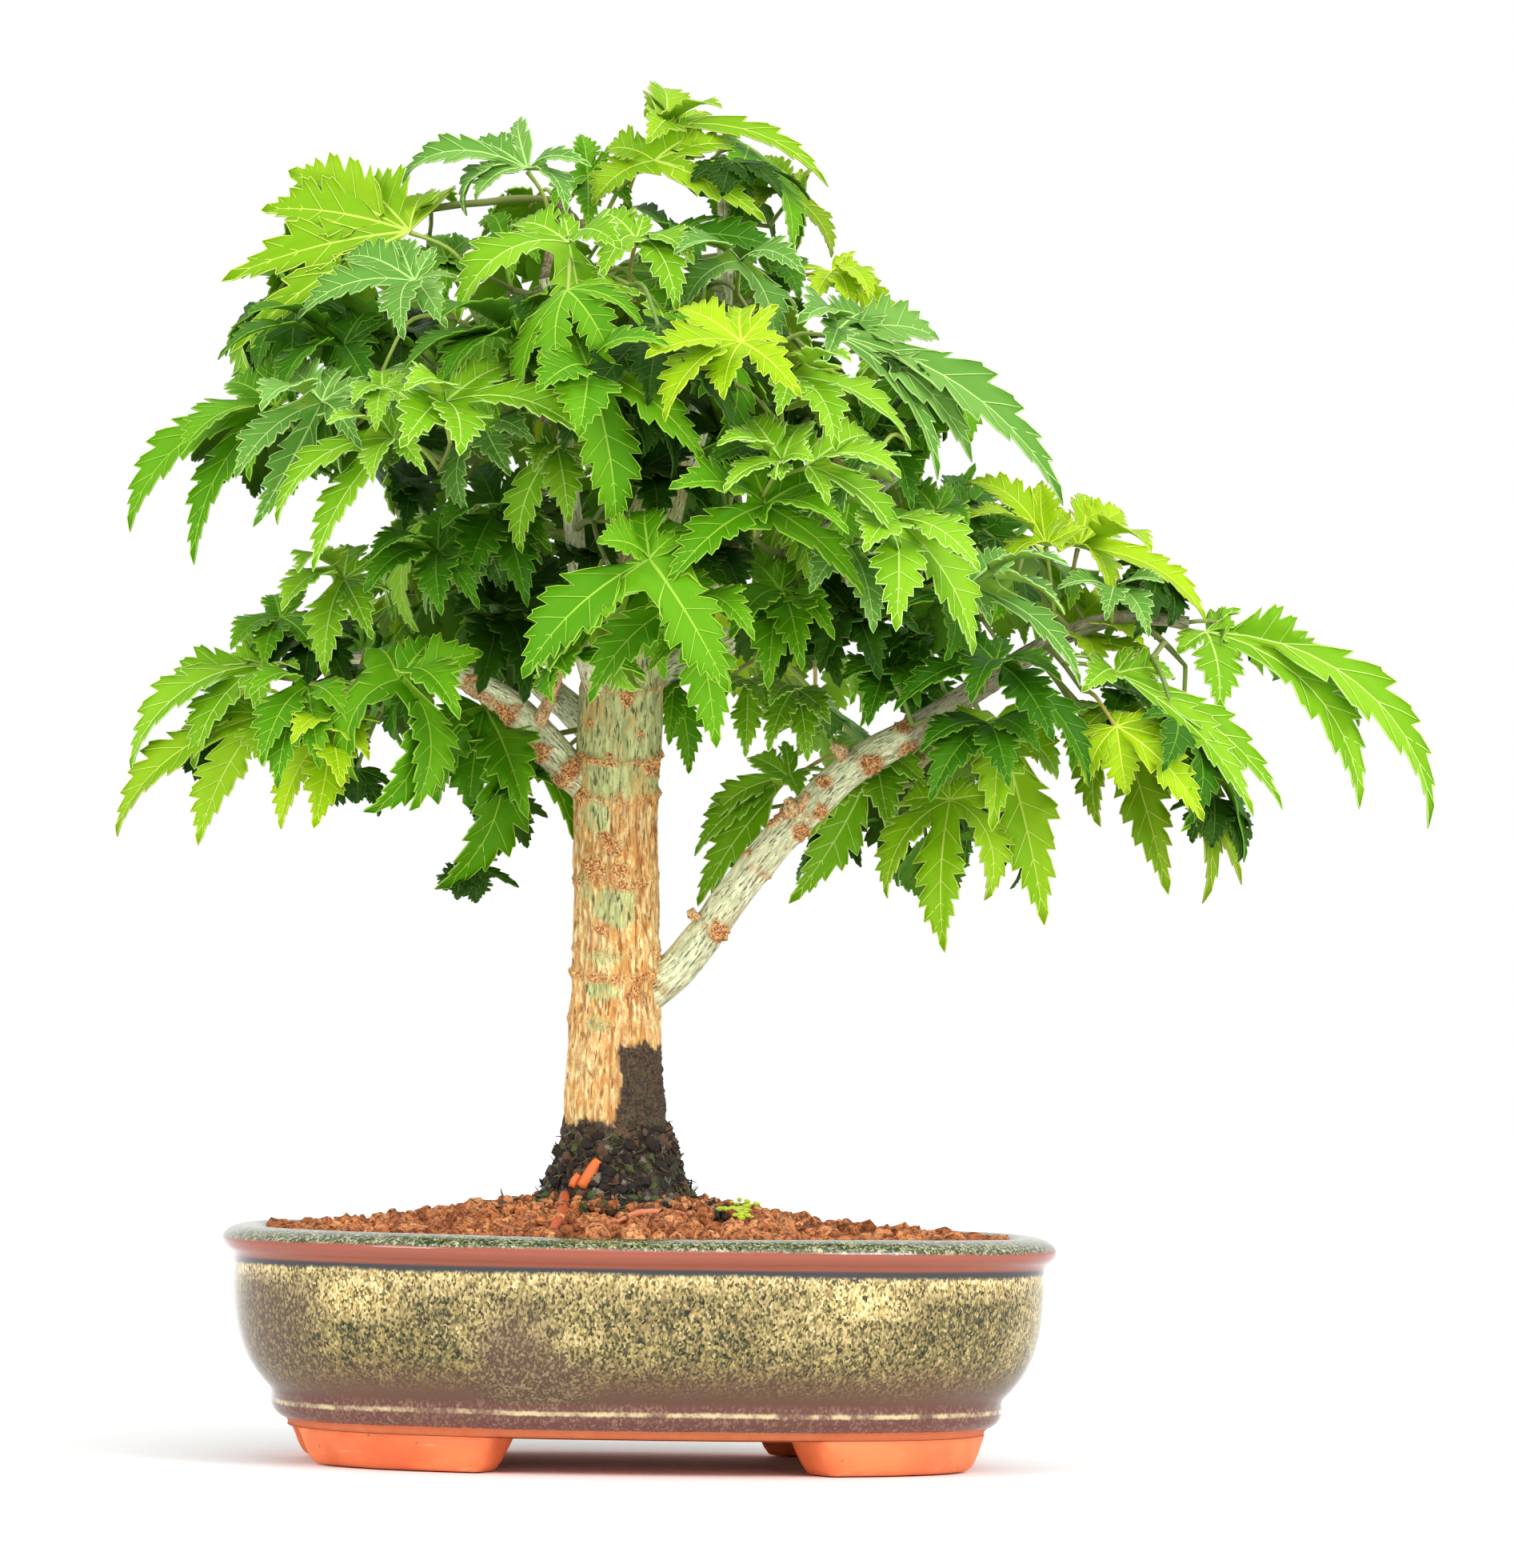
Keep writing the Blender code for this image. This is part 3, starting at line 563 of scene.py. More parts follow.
# ---- soil --------------------------------------------------------------------
SOIL_EDGE, SOIL_MOUND = 50.6, 8.6
FOOT_AT = np.array([-5.4, 0.0])


def soil_height(x, y):
    """Height of the soil over a point of the pot's own plan."""
    near = np.exp(-((x + 5.4) ** 2 + y ** 2) / (2 * 33.0 ** 2))
    return SOIL_EDGE + SOIL_MOUND * near


def soil_material(name, tints, dark):
    mat = new_material(name, rough=0.95)
    g = Graph(mat)
    even = g.coords()
    by_lump = g.voronoi(even, 175.0, out="Color")
    pick = g.node("ShaderNodeSeparateColor")
    g.link(by_lump, pick.inputs[0])
    colour = g.ramp(pick.outputs[0], [(i / (len(tints) - 1), t) for i, t in enumerate(tints)])
    pits = g.noise(even, 900.0, 4.0, 0.65)
    colour = g.mix(g.ramp(pits, [(0.40, 0.85), (0.56, 0.0)]), colour, dark)
    g.colour(colour)
    g.bump(pits, 0.7, 0.0008)
    return mat


def lump_shapes(count, seed, detail=1):
    """Unit-size rough granules: points (count, n, 3) and their triangles."""
    bm = bmesh.new()
    bmesh.ops.create_icosphere(bm, subdivisions=detail + 1, radius=1.0)
    base = np.array([v.co[:] for v in bm.verts])
    triangles = np.array([[v.index for v in f.verts] for f in bm.faces])
    bm.free()
    shapes = []
    local = np.random.default_rng(seed)
    for _ in range(count):
        offset = local.uniform(-50, 50)
        swell = 1.0 + 0.34 * noise_at(base, 1.4, offset) + 0.26 * noise_at(base, 3.2, offset + 9)
        stretch = local.uniform(0.78, 1.22, 3)
        shapes.append(base * swell[:, None] * stretch)
    return np.array(shapes), triangles


def turn_matrix(axis, angle):
    axis = np.asarray(axis, float) / np.linalg.norm(axis)
    k = np.array([[0, -axis[2], axis[1]], [axis[2], 0, -axis[0]], [-axis[1], axis[0], 0]])
    return np.eye(3) + math.sin(angle) * k + (1 - math.cos(angle)) * (k @ k)


def make_soil():
    # bed under the granules
    count = 160
    c, s = oval(count)
    rings = []
    for inset in (10.9, 16.0, 24.0, 34.0, 44.0, 54.0, 61.0):
        ring = ring_points(c, s, inset, 0.0)
        ring[:, 2] = soil_height(ring[:, 0], ring[:, 1]) - 2.4
        rings.append(ring)
    bottom = ring_points(c, s, 20.9, 14.4)
    wall = ring_points(c, s, 11.6, 36.0)
    low_wall = ring_points(c, s, 13.4, 24.0)
    rings = [bottom, low_wall, wall] + rings
    points = np.concatenate(rings)
    top_mid, low_mid = len(points), len(points) + 1
    points = np.concatenate([points, [[0, 0, SOIL_EDGE + SOIL_MOUND - 2.6], [0, 0, 14.4]]])
    faces = grid_faces(len(rings), count)
    j = np.arange(count)
    k = (j + 1) % count
    top = (len(rings) - 1) * count
    caps = np.concatenate([np.stack([top + j, top + k, np.full(count, top_mid)], 1), np.stack([k, j, np.full(count, low_mid)], 1)])
    brown = soil_material("soil", [(0.28, 0.075, 0.018), (0.58, 0.190, 0.052), (0.88, 0.370, 0.140), (0.38, 0.110, 0.030), (0.72, 0.260, 0.085)], (0.050, 0.012, 0.004))
    bed = mesh_piece("soil_bed", pot_row(points), [faces, caps], [brown])
    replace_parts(bed, "soil")

    shapes, triangles = lump_shapes(14, 5)
    placed, gather = [], Gather()
    local = np.random.default_rng(11)
    spacing = 4.5
    tries = local.uniform(-1, 1, (26000, 2)) * [POT_HALF_LENGTH - 11.5, POT_HALF_DEPTH - 11.5]
    power = POT_SQUARENESS
    inside = (np.abs(tries[:, 0]) / (POT_HALF_LENGTH - 12.4)) ** power + (np.abs(tries[:, 1]) / (POT_HALF_DEPTH - 12.4)) ** power < 1.0
    grid = {}
    for x, y in tries[inside]:
        if math.hypot(x + 5.4, y) < 15.5:
            continue
        cell = (int(x // spacing), int(y // spacing))
        if any(math.hypot(x - a, y - b) < spacing for i in (-1, 0, 1) for j in (-1, 0, 1) for a, b in grid.get((cell[0] + i, cell[1] + j), ())):
            continue
        grid.setdefault(cell, []).append((x, y))
        placed.append((x, y))
    for x, y in placed:
        size = local.uniform(2.1, 3.3)
        edge = (abs(x) / (POT_HALF_LENGTH - 12.4)) ** power + (abs(y) / (POT_HALF_DEPTH - 12.4)) ** power
        lift = local.uniform(-0.9, 1.3) * (1.0 - 0.4 * edge)
        shape = shapes[local.integers(len(shapes))] @ turn_matrix(local.normal(size=3), local.uniform(0, 6.3)).T
        gather.add(shape * size + [x, y, soil_height(x, y) - 1.0 + lift], triangles)
    # a scatter of smaller grains lying on top, thicker round the trunk
    for _ in range(420):
        angle, reach = local.uniform(0, math.tau), abs(local.normal()) * 30 + 17
        x, y = -5.4 + math.cos(angle) * reach, math.sin(angle) * reach * 0.8
        edge = (abs(x) / (POT_HALF_LENGTH - 14)) ** power + (abs(y) / (POT_HALF_DEPTH - 14)) ** power
        if edge > 1:
            continue
        size = local.uniform(0.8, 1.6)
        shape = shapes[local.integers(len(shapes))] @ turn_matrix(local.normal(size=3), local.uniform(0, 6.3)).T
        gather.add(shape * size + [x, y, soil_height(x, y) + 1.2 + local.uniform(-0.4, 0.9)], triangles)
    grains = gather.piece("soil_granules", [brown], "soil", smooth=False, convert=pot_row)
    return grains


# ---- trunk and limbs ---------------------------------------------------------
# (right, away, up, radius) of the centre lines
TRUNK = (
    (-5.0, 0.0, 51.0, 19.5), (-5.2, 0.0, 58.0, 17.6), (-5.6, 0.0, 66.0, 14.4),
    (-6.2, 0.0, 76.0, 11.9), (-6.6, 0.0, 92.0, 10.7), (-6.6, 0.0, 114.0, 9.9),
    (-7.0, 0.0, 133.0, 9.5), (-7.4, 0.0, 151.0, 9.5), (-6.8, 0.5, 169.0, 9.7),
    (-6.0, 1.5, 182.0, 9.0), (-3.5, 3.0, 200.0, 7.2), (0.5, 4.0, 217.0, 6.0),
    (4.5, 4.0, 230.0, 5.0),
)
LIMBS = {
    "bough_right": (
        (-3.0, 0.0, 104.5, 5.0), (6.6, -1.5, 112.0, 4.5), (12.7, -2.0, 119.5, 4.2), (19.4, -3.0, 129.1, 4.05), (25.9, -4.0, 137.8, 4.0),
        (36.6, -5.0, 149.9, 3.95), (48.0, -6.0, 160.2, 3.9), (60.0, -7.0, 167.6, 3.5),
        (76.0, -8.0, 178.6, 2.7), (92.0, -9.0, 189.0, 2.1), (106.0, -10.0, 194.0, 1.8), (122.0, -10.0, 193.5, 1.3),
    ),
    "bough_left": (
        (-7.0, 0.0, 150.0, 4.6), (-17.0, -1.0, 156.5, 4.3), (-27.0, -2.0, 167.0, 4.0),
        (-34.0, -3.0, 173.5, 3.2), (-43.0, -5.0, 178.0, 2.6), (-56.0, -8.0, 181.0, 1.9), (-72.0, -12.0, 182.0, 1.4),
    ),
    "leader_left": (
        (-9.0, -2.0, 172.0, 3.4), (-14.0, -7.0, 181.0, 2.8), (-16.0, -10.0, 195.0, 2.4),
        (-18.5, -13.0, 215.0, 2.1), (-20.5, -15.0, 232.0, 1.8), (-22.0, -16.0, 250.0, 1.5),
        (-26.0, -18.0, 268.0, 1.2),
    ),
    "limb_upper_right": (
        (-2.0, 1.0, 188.0, 3.8), (8.0, -4.0, 195.0, 3.3), (20.0, -9.0, 204.0, 2.9),
        (35.0, -13.0, 213.0, 2.4), (50.0, -16.0, 222.0, 1.8), (62.0, -18.0, 232.0, 1.3),
    ),
    "limb_back_left": (
        (-6.0, 2.0, 160.0, 4.2), (-16.0, 14.0, 170.0, 3.6), (-30.0, 30.0, 182.0, 2.9),
        (-44.0, 46.0, 192.0, 2.2), (-56.0, 56.0, 204.0, 1.6),
    ),
    "limb_back_right": (
        (-5.0, 2.0, 176.0, 4.0), (8.0, 15.0, 183.0, 3.4), (25.0, 32.0, 193.0, 2.8),
        (42.0, 50.0, 202.0, 2.1), (56.0, 58.0, 212.0, 1.6),
    ),
    "leader_top": (
        (3.0, 4.0, 220.0, 3.8), (9.0, 3.0, 236.0, 3.2), (14.0, 1.0, 256.0, 2.4),
        (15.0, 0.0, 272.0, 1.9), (14.5, 0.0, 290.0, 1.4),
    ),
}
# dry corky stubs left on the boughs
SPURS = tuple(tuple((*at_pixel(*at), size) for at, size in spur) for spur in (
    (((668, 912, -3), 1.9), ((681, 888, -6), 1.5), ((689, 866, -7), 1.25), ((695, 846, -8), 1.55), ((697, 836, -8), 1.0)),
    (((622, 880, -4), 2.0), ((604, 868, -5), 1.8), ((590, 858, -6), 1.9), ((584, 850, -6), 1.4)),
    (((990, 1020, -8), 1.8), ((988, 1006, -9), 1.5), ((984, 998, -9), 0.9)),
    (((1000, 1014, -8), 1.3), ((1005, 1000, -9), 1.2), ((1008, 990, -9), 0.6)),
    (((1056, 946, -9), 1.5), ((1048, 936, -10), 1.4), ((1040, 931, -10), 1.0)),
    (((872, 1150, -6), 1.3), ((866, 1142, -6), 1.1), ((862, 1137, -6), 0.7)),
))
# corky knots and scars: (across, down, size in mm) as the viewer sees them
TRUNK_KNOTS = (
    (744, 1083, 2.2), (766, 1060, 2.0), (775, 1089, 2.2), (748, 834, 2.0), (784, 874, 1.6), (717, 962, 1.7), (814, 958, 2.0), (755, 1046, 1.3),
    (727, 948, 1.5), (728, 992, 1.2), (836, 1196, 3.0), (828, 1216, 2.0), (762, 944, 1.0), (752, 1162, 1.3), (738, 905, 0.9), (792, 1240, 1.4), (800, 918, 0.8),
)
LIMB_KNOTS = {
    "bough_right": ((965, 1016, 2.7), (1003, 1040, 2.1), (1026, 1014, 1.7), (1030, 978, 1.4), (898, 1163, 2.3), (1090, 955, 2.3), (1130, 906, 2.0), (1139, 938, 2.2), (868, 1143, 1.3), (986, 1008, 1.5), (936, 1064, 0.8), (1052, 934, 1.5)),
    "bough_left": ((636, 893, 2.0), (672, 940, 2.4), (712, 962, 2.4), (700, 975, 1.8), (690, 990, 1.6), (624, 884, 1.4), (590, 858, 2.2)),
}
# skin left green between the corky parts of the trunk: (across, down, half width, half height)
GREEN_PATCHES = ((746, 1020, 17, 26), (772, 1132, 34, 28), (757, 1196, 26, 9), (752, 1239, 22, 12), (748, 1280, 16, 9), (732, 1105, 9, 20))
# corky rings round the trunk: (height, half width, strength), each crossing at a slant
TRUNK_RINGS = ((160.3, 1.1, 1.0), (151.6, 1.0, 0.8), (132.5, 1.3, 1.0), (117.0, 1.0, 0.55), (111.3, 1.3, 1.0), (101.0, 1.0, 0.5), (176.5, 1.0, 0.5), (190.0, 1.0, 0.6))


def bark_material(name, pale, tan, cork_a, cork_b, green, furrow_dark, grained=True, finer=1.0):
    """Bark by attributes: cork (raised rings and knots), smooth (green skin), moss (dark wet foot); its grain follows the limb."""
    mat = new_material(name, rough=0.75)
    g = Graph(mat)
    even = g.coords()
    grain = (lambda scale: g.attribute_at("bark_at", scale)) if grained else (lambda scale: even)
    plates = g.noise(grain((1.0, 1.0, 0.26)), 900.0 * finer, 4.0, 0.62, 0.5)
    dashes = g.noise(grain((1.0, 1.0, 0.15)), 1700.0 * finer, 3.0, 0.6, 0.3)
    broad = g.noise(grain((1.0, 1.0, 0.6)), 190.0, 3.0, 0.6)
    fine = g.noise(even, 1500.0, 3.0, 0.6)
    colour = g.mix(g.ramp(broad, [(0.38, 0.0), (0.60, 1.0)]), pale, tan)
    colour = g.mix(g.ramp(plates, [(0.40, 0.80), (0.50, 0.0)]), colour, tuple(c * 0.5 + d * 0.5 for c, d in zip(tan, furrow_dark)))
    colour = g.mix(g.ramp(plates, [(0.52, 0.0), (0.60, 0.9)]), colour, tuple(min(1.0, c * 1.25 + 0.10) for c in pale))
    colour = g.mix(g.ramp(dashes, [(0.37, 0.95), (0.44, 0.0)]), colour, furrow_dark)
    colour = g.mix(g.math("MULTIPLY", g.attribute("furrow"), 0.7), colour, furrow_dark)
    skin = g.mix(g.ramp(plates, [(0.40, 0.0), (0.60, 1.0)]), green, tuple(min(1.0, c * 1.7 + 0.06) for c in green))
    skin = g.mix(g.ramp(broad, [(0.50, 0.0), (0.66, 0.5)]), skin, tan)
    skin = g.mix(g.ramp(dashes, [(0.385, 0.95), (0.435, 0.0)]), skin, tuple(c * 0.26 for c in green))
    colour = g.mix(g.attribute("smooth_skin"), colour, skin)
    corky = g.mix(g.ramp(fine, [(0.38, 0.0), (0.58, 1.0)]), cork_a, cork_b)
    corky = g.mix(g.ramp(g.noise(even, 2300.0, 3.0), [(0.41, 0.95), (0.48, 0.0)]), corky, (0.13, 0.030, 0.008))
    colour = g.mix(g.attribute("cork"), colour, corky)
    wet = g.mix(g.ramp(fine, [(0.4, 0.0), (0.7, 1.0)]), (0.026, 0.015, 0.008), (0.15, 0.085, 0.040))
    wet = g.mix(g.ramp(g.noise(even, 420.0, 3.0), [(0.58, 0.0), (0.68, 0.7)]), wet, (0.075, 0.080, 0.022))
    colour = g.mix(g.attribute("moss"), colour, wet)
    g.colour(colour)
    g.bump(g.math("ADD", g.math("MULTIPLY", dashes, 1.1), g.math("MULTIPLY", plates, 1.0)), 0.7, 0.0007)
    return mat


def limb_surface(points, count, every, knots, sides_twist=0.0, trunk=False):
    """A limb's skin with its relief: points, quads and the bark attributes."""
    line = smooth_line(points, every)
    tangents, a, b = frames(line[:, :3])
    n = len(line)
    turn = np.arange(count) / count * math.tau
    ring = np.cos(turn)[None, :, None] * a[:, None, :] + np.sin(turn)[None, :, None] * b[:, None, :]
    radius = line[:, 3][:, None] * np.ones((1, count))
    base = line[:, None, :3] + ring * radius[:, :, None]
    flat = base.reshape(-1, 3)
    outward = ring.reshape(-1, 3)
    length = np.concatenate([[0], np.cumsum(np.linalg.norm(np.diff(line[:, :3], axis=0), axis=1))])
    along = np.repeat(length, count)
    around = np.tile(turn, n)
    r = radius.ravel()
    # bark coordinates: round the limb in mm, and along it
    wrap = np.stack([np.cos(around) * r, np.sin(around) * r, along * 0.13], 1)
    ridge = 1.0 - np.abs(noise_at(wrap, 0.62, 3.1)) * 2.0
    strand = 1.0 - np.abs(noise_at(wrap, 1.35, 8.2)) * 2.0
    lumps = noise_at(np.stack([wrap[:, 0], wrap[:, 1], along * 0.8], 1), 0.16, 5.5)
    facing = np.clip(-outward[:, 1], 0, 1)
    cork = np.zeros(len(flat))
    raised = np.zeros(len(flat))
    if trunk:
        slant = 1.1 * np.sin(around + 0.6) + 0.7 * np.sin(2 * around + 1.0)
        for level, half, strength in TRUNK_RINGS:
            gap = np.abs(flat[:, 2] - level - slant + 0.5 * noise_at(wrap, 0.5, level))
            broken = 0.45 + 0.55 * step(noise_at(np.stack([wrap[:, 0], wrap[:, 1], np.full(len(wrap), level)], 1), 0.28, level * 0.3), -0.25, 0.15)
            band = (1 - step(gap, half * 0.35, half * 1.35)) * strength * broken
            cork = np.maximum(cork, band)
            raised = np.maximum(raised, band * 0.75)
    else:
        for place in np.arange(9.0, length[-1], 17.0):
            gap = np.abs(along - place - 0.8 * np.sin(around))
            band = (1 - step(gap, 0.3, 1.1)) * 0.7 * step(noise_at(wrap, 0.5, place), -0.2, 0.1)
            cork = np.maximum(cork, band * 0.8)
            raised = np.maximum(raised, band * 0.35)
    for across, down, size in knots:
        right, _, up = at_pixel(across, down, -9.0)
        gap = np.hypot(flat[:, 0] - right, flat[:, 2] - up) / size
        gap = gap * (1 + 0.45 * noise_at(flat, 0.55, right) + 0.30 * noise_at(flat, 1.3, up))
        seen = step(-outward[:, 1], 0.05, 0.35)
        rim = np.exp(-((gap - 0.75) / 0.28) ** 2)
        heart = np.exp(-(gap / 0.45) ** 2)
        cork = np.maximum(cork, (1 - step(gap, 0.85, 1.35)) * seen)
        raised += seen * (rim * 0.60 + heart * 0.20) * size * (0.44 if trunk else 0.62)
    rough_cork = noise_at(flat, 1.1, 1.7) * 0.5 + noise_at(flat, 2.4, 4.2) * 0.35
    relief = raised + cork * rough_cork * (1.1 if trunk else 1.5) + lumps * 0.35
    if trunk:
        z = flat[:, 2]
        # smooth grey-green skin: none near the foot, patchy in the middle, nearly all above
        ragged = 0.30 * noise_at(np.stack([wrap[:, 0], wrap[:, 1], along * 0.6], 1), 0.45, 2.2)
        skin = np.zeros(len(flat))
        for across, down, wide, tall in GREEN_PATCHES:
            right, _, up = at_pixel(across, down, -9.0)
            off = np.hypot((flat[:, 0] - right) * PIXELS_PER_MM / wide, (z - up) * PIXELS_PER_MM / tall) + ragged
            skin = np.maximum(skin, (1 - step(off, 0.8, 1.1)) * step(-outward[:, 1], 0.0, 0.15))
        behind = noise_at(np.stack([wrap[:, 0], wrap[:, 1], along * 0.9], 1), 0.11, 2.2) + (z - 128.0) * 0.010
        skin = np.maximum(skin, step(behind, 0.05, 0.2) * step(outward[:, 1], 0.0, 0.2) * step(z, 98, 112))
        strip = step(flat[:, 0] + ragged * 3, -3.5, -2.0) * step(z, 96, 100) * (1 - step(z + ragged * 4, 150.5, 152.5)) * step(-outward[:, 1], -0.2, 0.1)
        skin = np.maximum(skin, step(z + ragged * 5, 150.0, 153.0)) * (1 - strip * 0.97)
        brown = step(flat[:, 0] + 4.0 * ragged + 0.6 * noise_at(flat, 0.9, 3.3), -5.6, -4.9)
        foot = z - (78.0 + 17.0 * brown + 3.0 * noise_at(flat, 0.30, 7.7) + 1.6 * noise_at(flat, 0.9, 5.1))
        moss = 1 - step(foot, -0.5, 0.5)
        furrow = step(ridge, 0.72, 0.97) * (1 - skin * 0.75)
        deep = (1 - skin * 0.82)
        relief += deep * (-0.55 * step(ridge, 0.55, 1.0) + 0.28 * strand) + skin * 0.10 * strand
        relief += moss * (noise_at(flat, 0.7, 9.9) * 0.7)
        relief *= 1 - step(z, 222, 230) * 0.6
    else:
        skin = np.clip(0.93 - 0.9 * step(noise_at(wrap, 0.35, 4.4), 0.28, 0.45), 0, 1)
        thin = np.clip(r / 4.5, 0.15, 1.0)
        furrow = step(strand, 0.9, 1.0) * 0.7
        moss = 0.62 * step(flat[:, 0] + 3 * noise_at(wrap, 0.4, 6.0), 57.0, 61.0) if len(knots) > 8 else np.zeros(len(flat))
        relief = relief * thin + (0.12 * strand - 0.18 * step(ridge, 0.75, 1.0)) * thin
    moved = flat + outward * relief[:, None]
    if trunk:
        bottom = flat[:, 2] < line[0, 2] + 0.01
        moved[bottom] = flat[bottom]
    values = {
        "cork": np.clip(cork, 0, 1), "smooth_skin": np.clip(skin, 0, 1), "moss": np.clip(moss, 0, 1), "furrow": np.clip(furrow, 0, 1),
        "bark_at": np.stack([np.cos(around) * r, np.sin(around) * r, along], 1) * MM,
    }
    quads = grid_faces(n, count)[:, ::-1]
    ends = np.stack([line[0, :3], line[-1, :3]])
    low, high = len(moved), len(moved) + 1
    j = np.arange(count)
    k = (j + 1) % count
    top = (n - 1) * count
    caps = np.concatenate([np.stack([j, k, np.full(count, low)], 1), np.stack([top + k, top + j, np.full(count, high)], 1)])
    points = np.concatenate([moved, ends])
    values = {key: np.concatenate([v, [v[:count].mean(0), v[-count:].mean(0)]]) for key, v in values.items()}
    return points, quads, caps, values


def make_wood():
    bark = bark_material("bark", (0.90, 0.64, 0.29), (0.86, 0.45, 0.12), (0.52, 0.15, 0.025), (0.96, 0.58, 0.22), (0.38, 0.40, 0.15), (0.34, 0.10, 0.016))
    young = bark_material("young_bark", (0.78, 0.78, 0.50), (0.66, 0.60, 0.34), (0.44, 0.12, 0.020), (0.94, 0.54, 0.20), (0.56, 0.60, 0.34), (0.18, 0.13, 0.05), finer=1.3)
    points, quads, caps, values = limb_surface(TRUNK, 132, 0.62, TRUNK_KNOTS, trunk=True)
    trunk = mesh_piece("trunk_bark", row(points), [quads, caps], [bark], values=values)
    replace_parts(trunk, "trunk")
    for number, line in enumerate(SPURS):
        points, quads, caps, values = limb_surface(line, 24, 0.35, ())
        values["cork"] = np.clip(0.75 + 0.4 * noise_at(points, 0.9, 5.0), 0, 1)
        points = points + (noise_at(points, 0.8, 2.0 + number) * 0.45)[:, None] * np.array([1.0, -0.6, 0.3])
        mesh_piece(f"spur_{number + 1}", row(points), [quads, caps], [young], values=values)
    for name, line in LIMBS.items():
        big = name.startswith("bough")
        points, quads, caps, values = limb_surface(line, 56 if big else 28, 0.6 if big else 1.0, LIMB_KNOTS.get(name, ()))
        limb = mesh_piece(name + "_bark", row(points), [quads, caps], [young], values=values)
        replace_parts(limb, name)


def collar_reach(up):
    """How far the heap round the trunk's foot stands out at a height."""
    t = float(np.clip((up - 52.0) / 24.5, 0.0, 1.0))
    return 22.5 - 11.0 * t ** 0.62 - 0.6 * t


def on_ground(across, down, lift):
    """The first spot that a view ray meets on the heap or the soil, a little proud of it."""
    for away in np.arange(-52.0, 0.0, 0.25):
        place = at_pixel(across, down, away)
        heap = place[2] < 77 and math.hypot(place[0] + 5.4, place[1]) < collar_reach(place[2]) + lift
        if heap or place[2] < soil_height(place[0], place[1]) + lift:
            return place
    return at_pixel(across, down, -8.0)


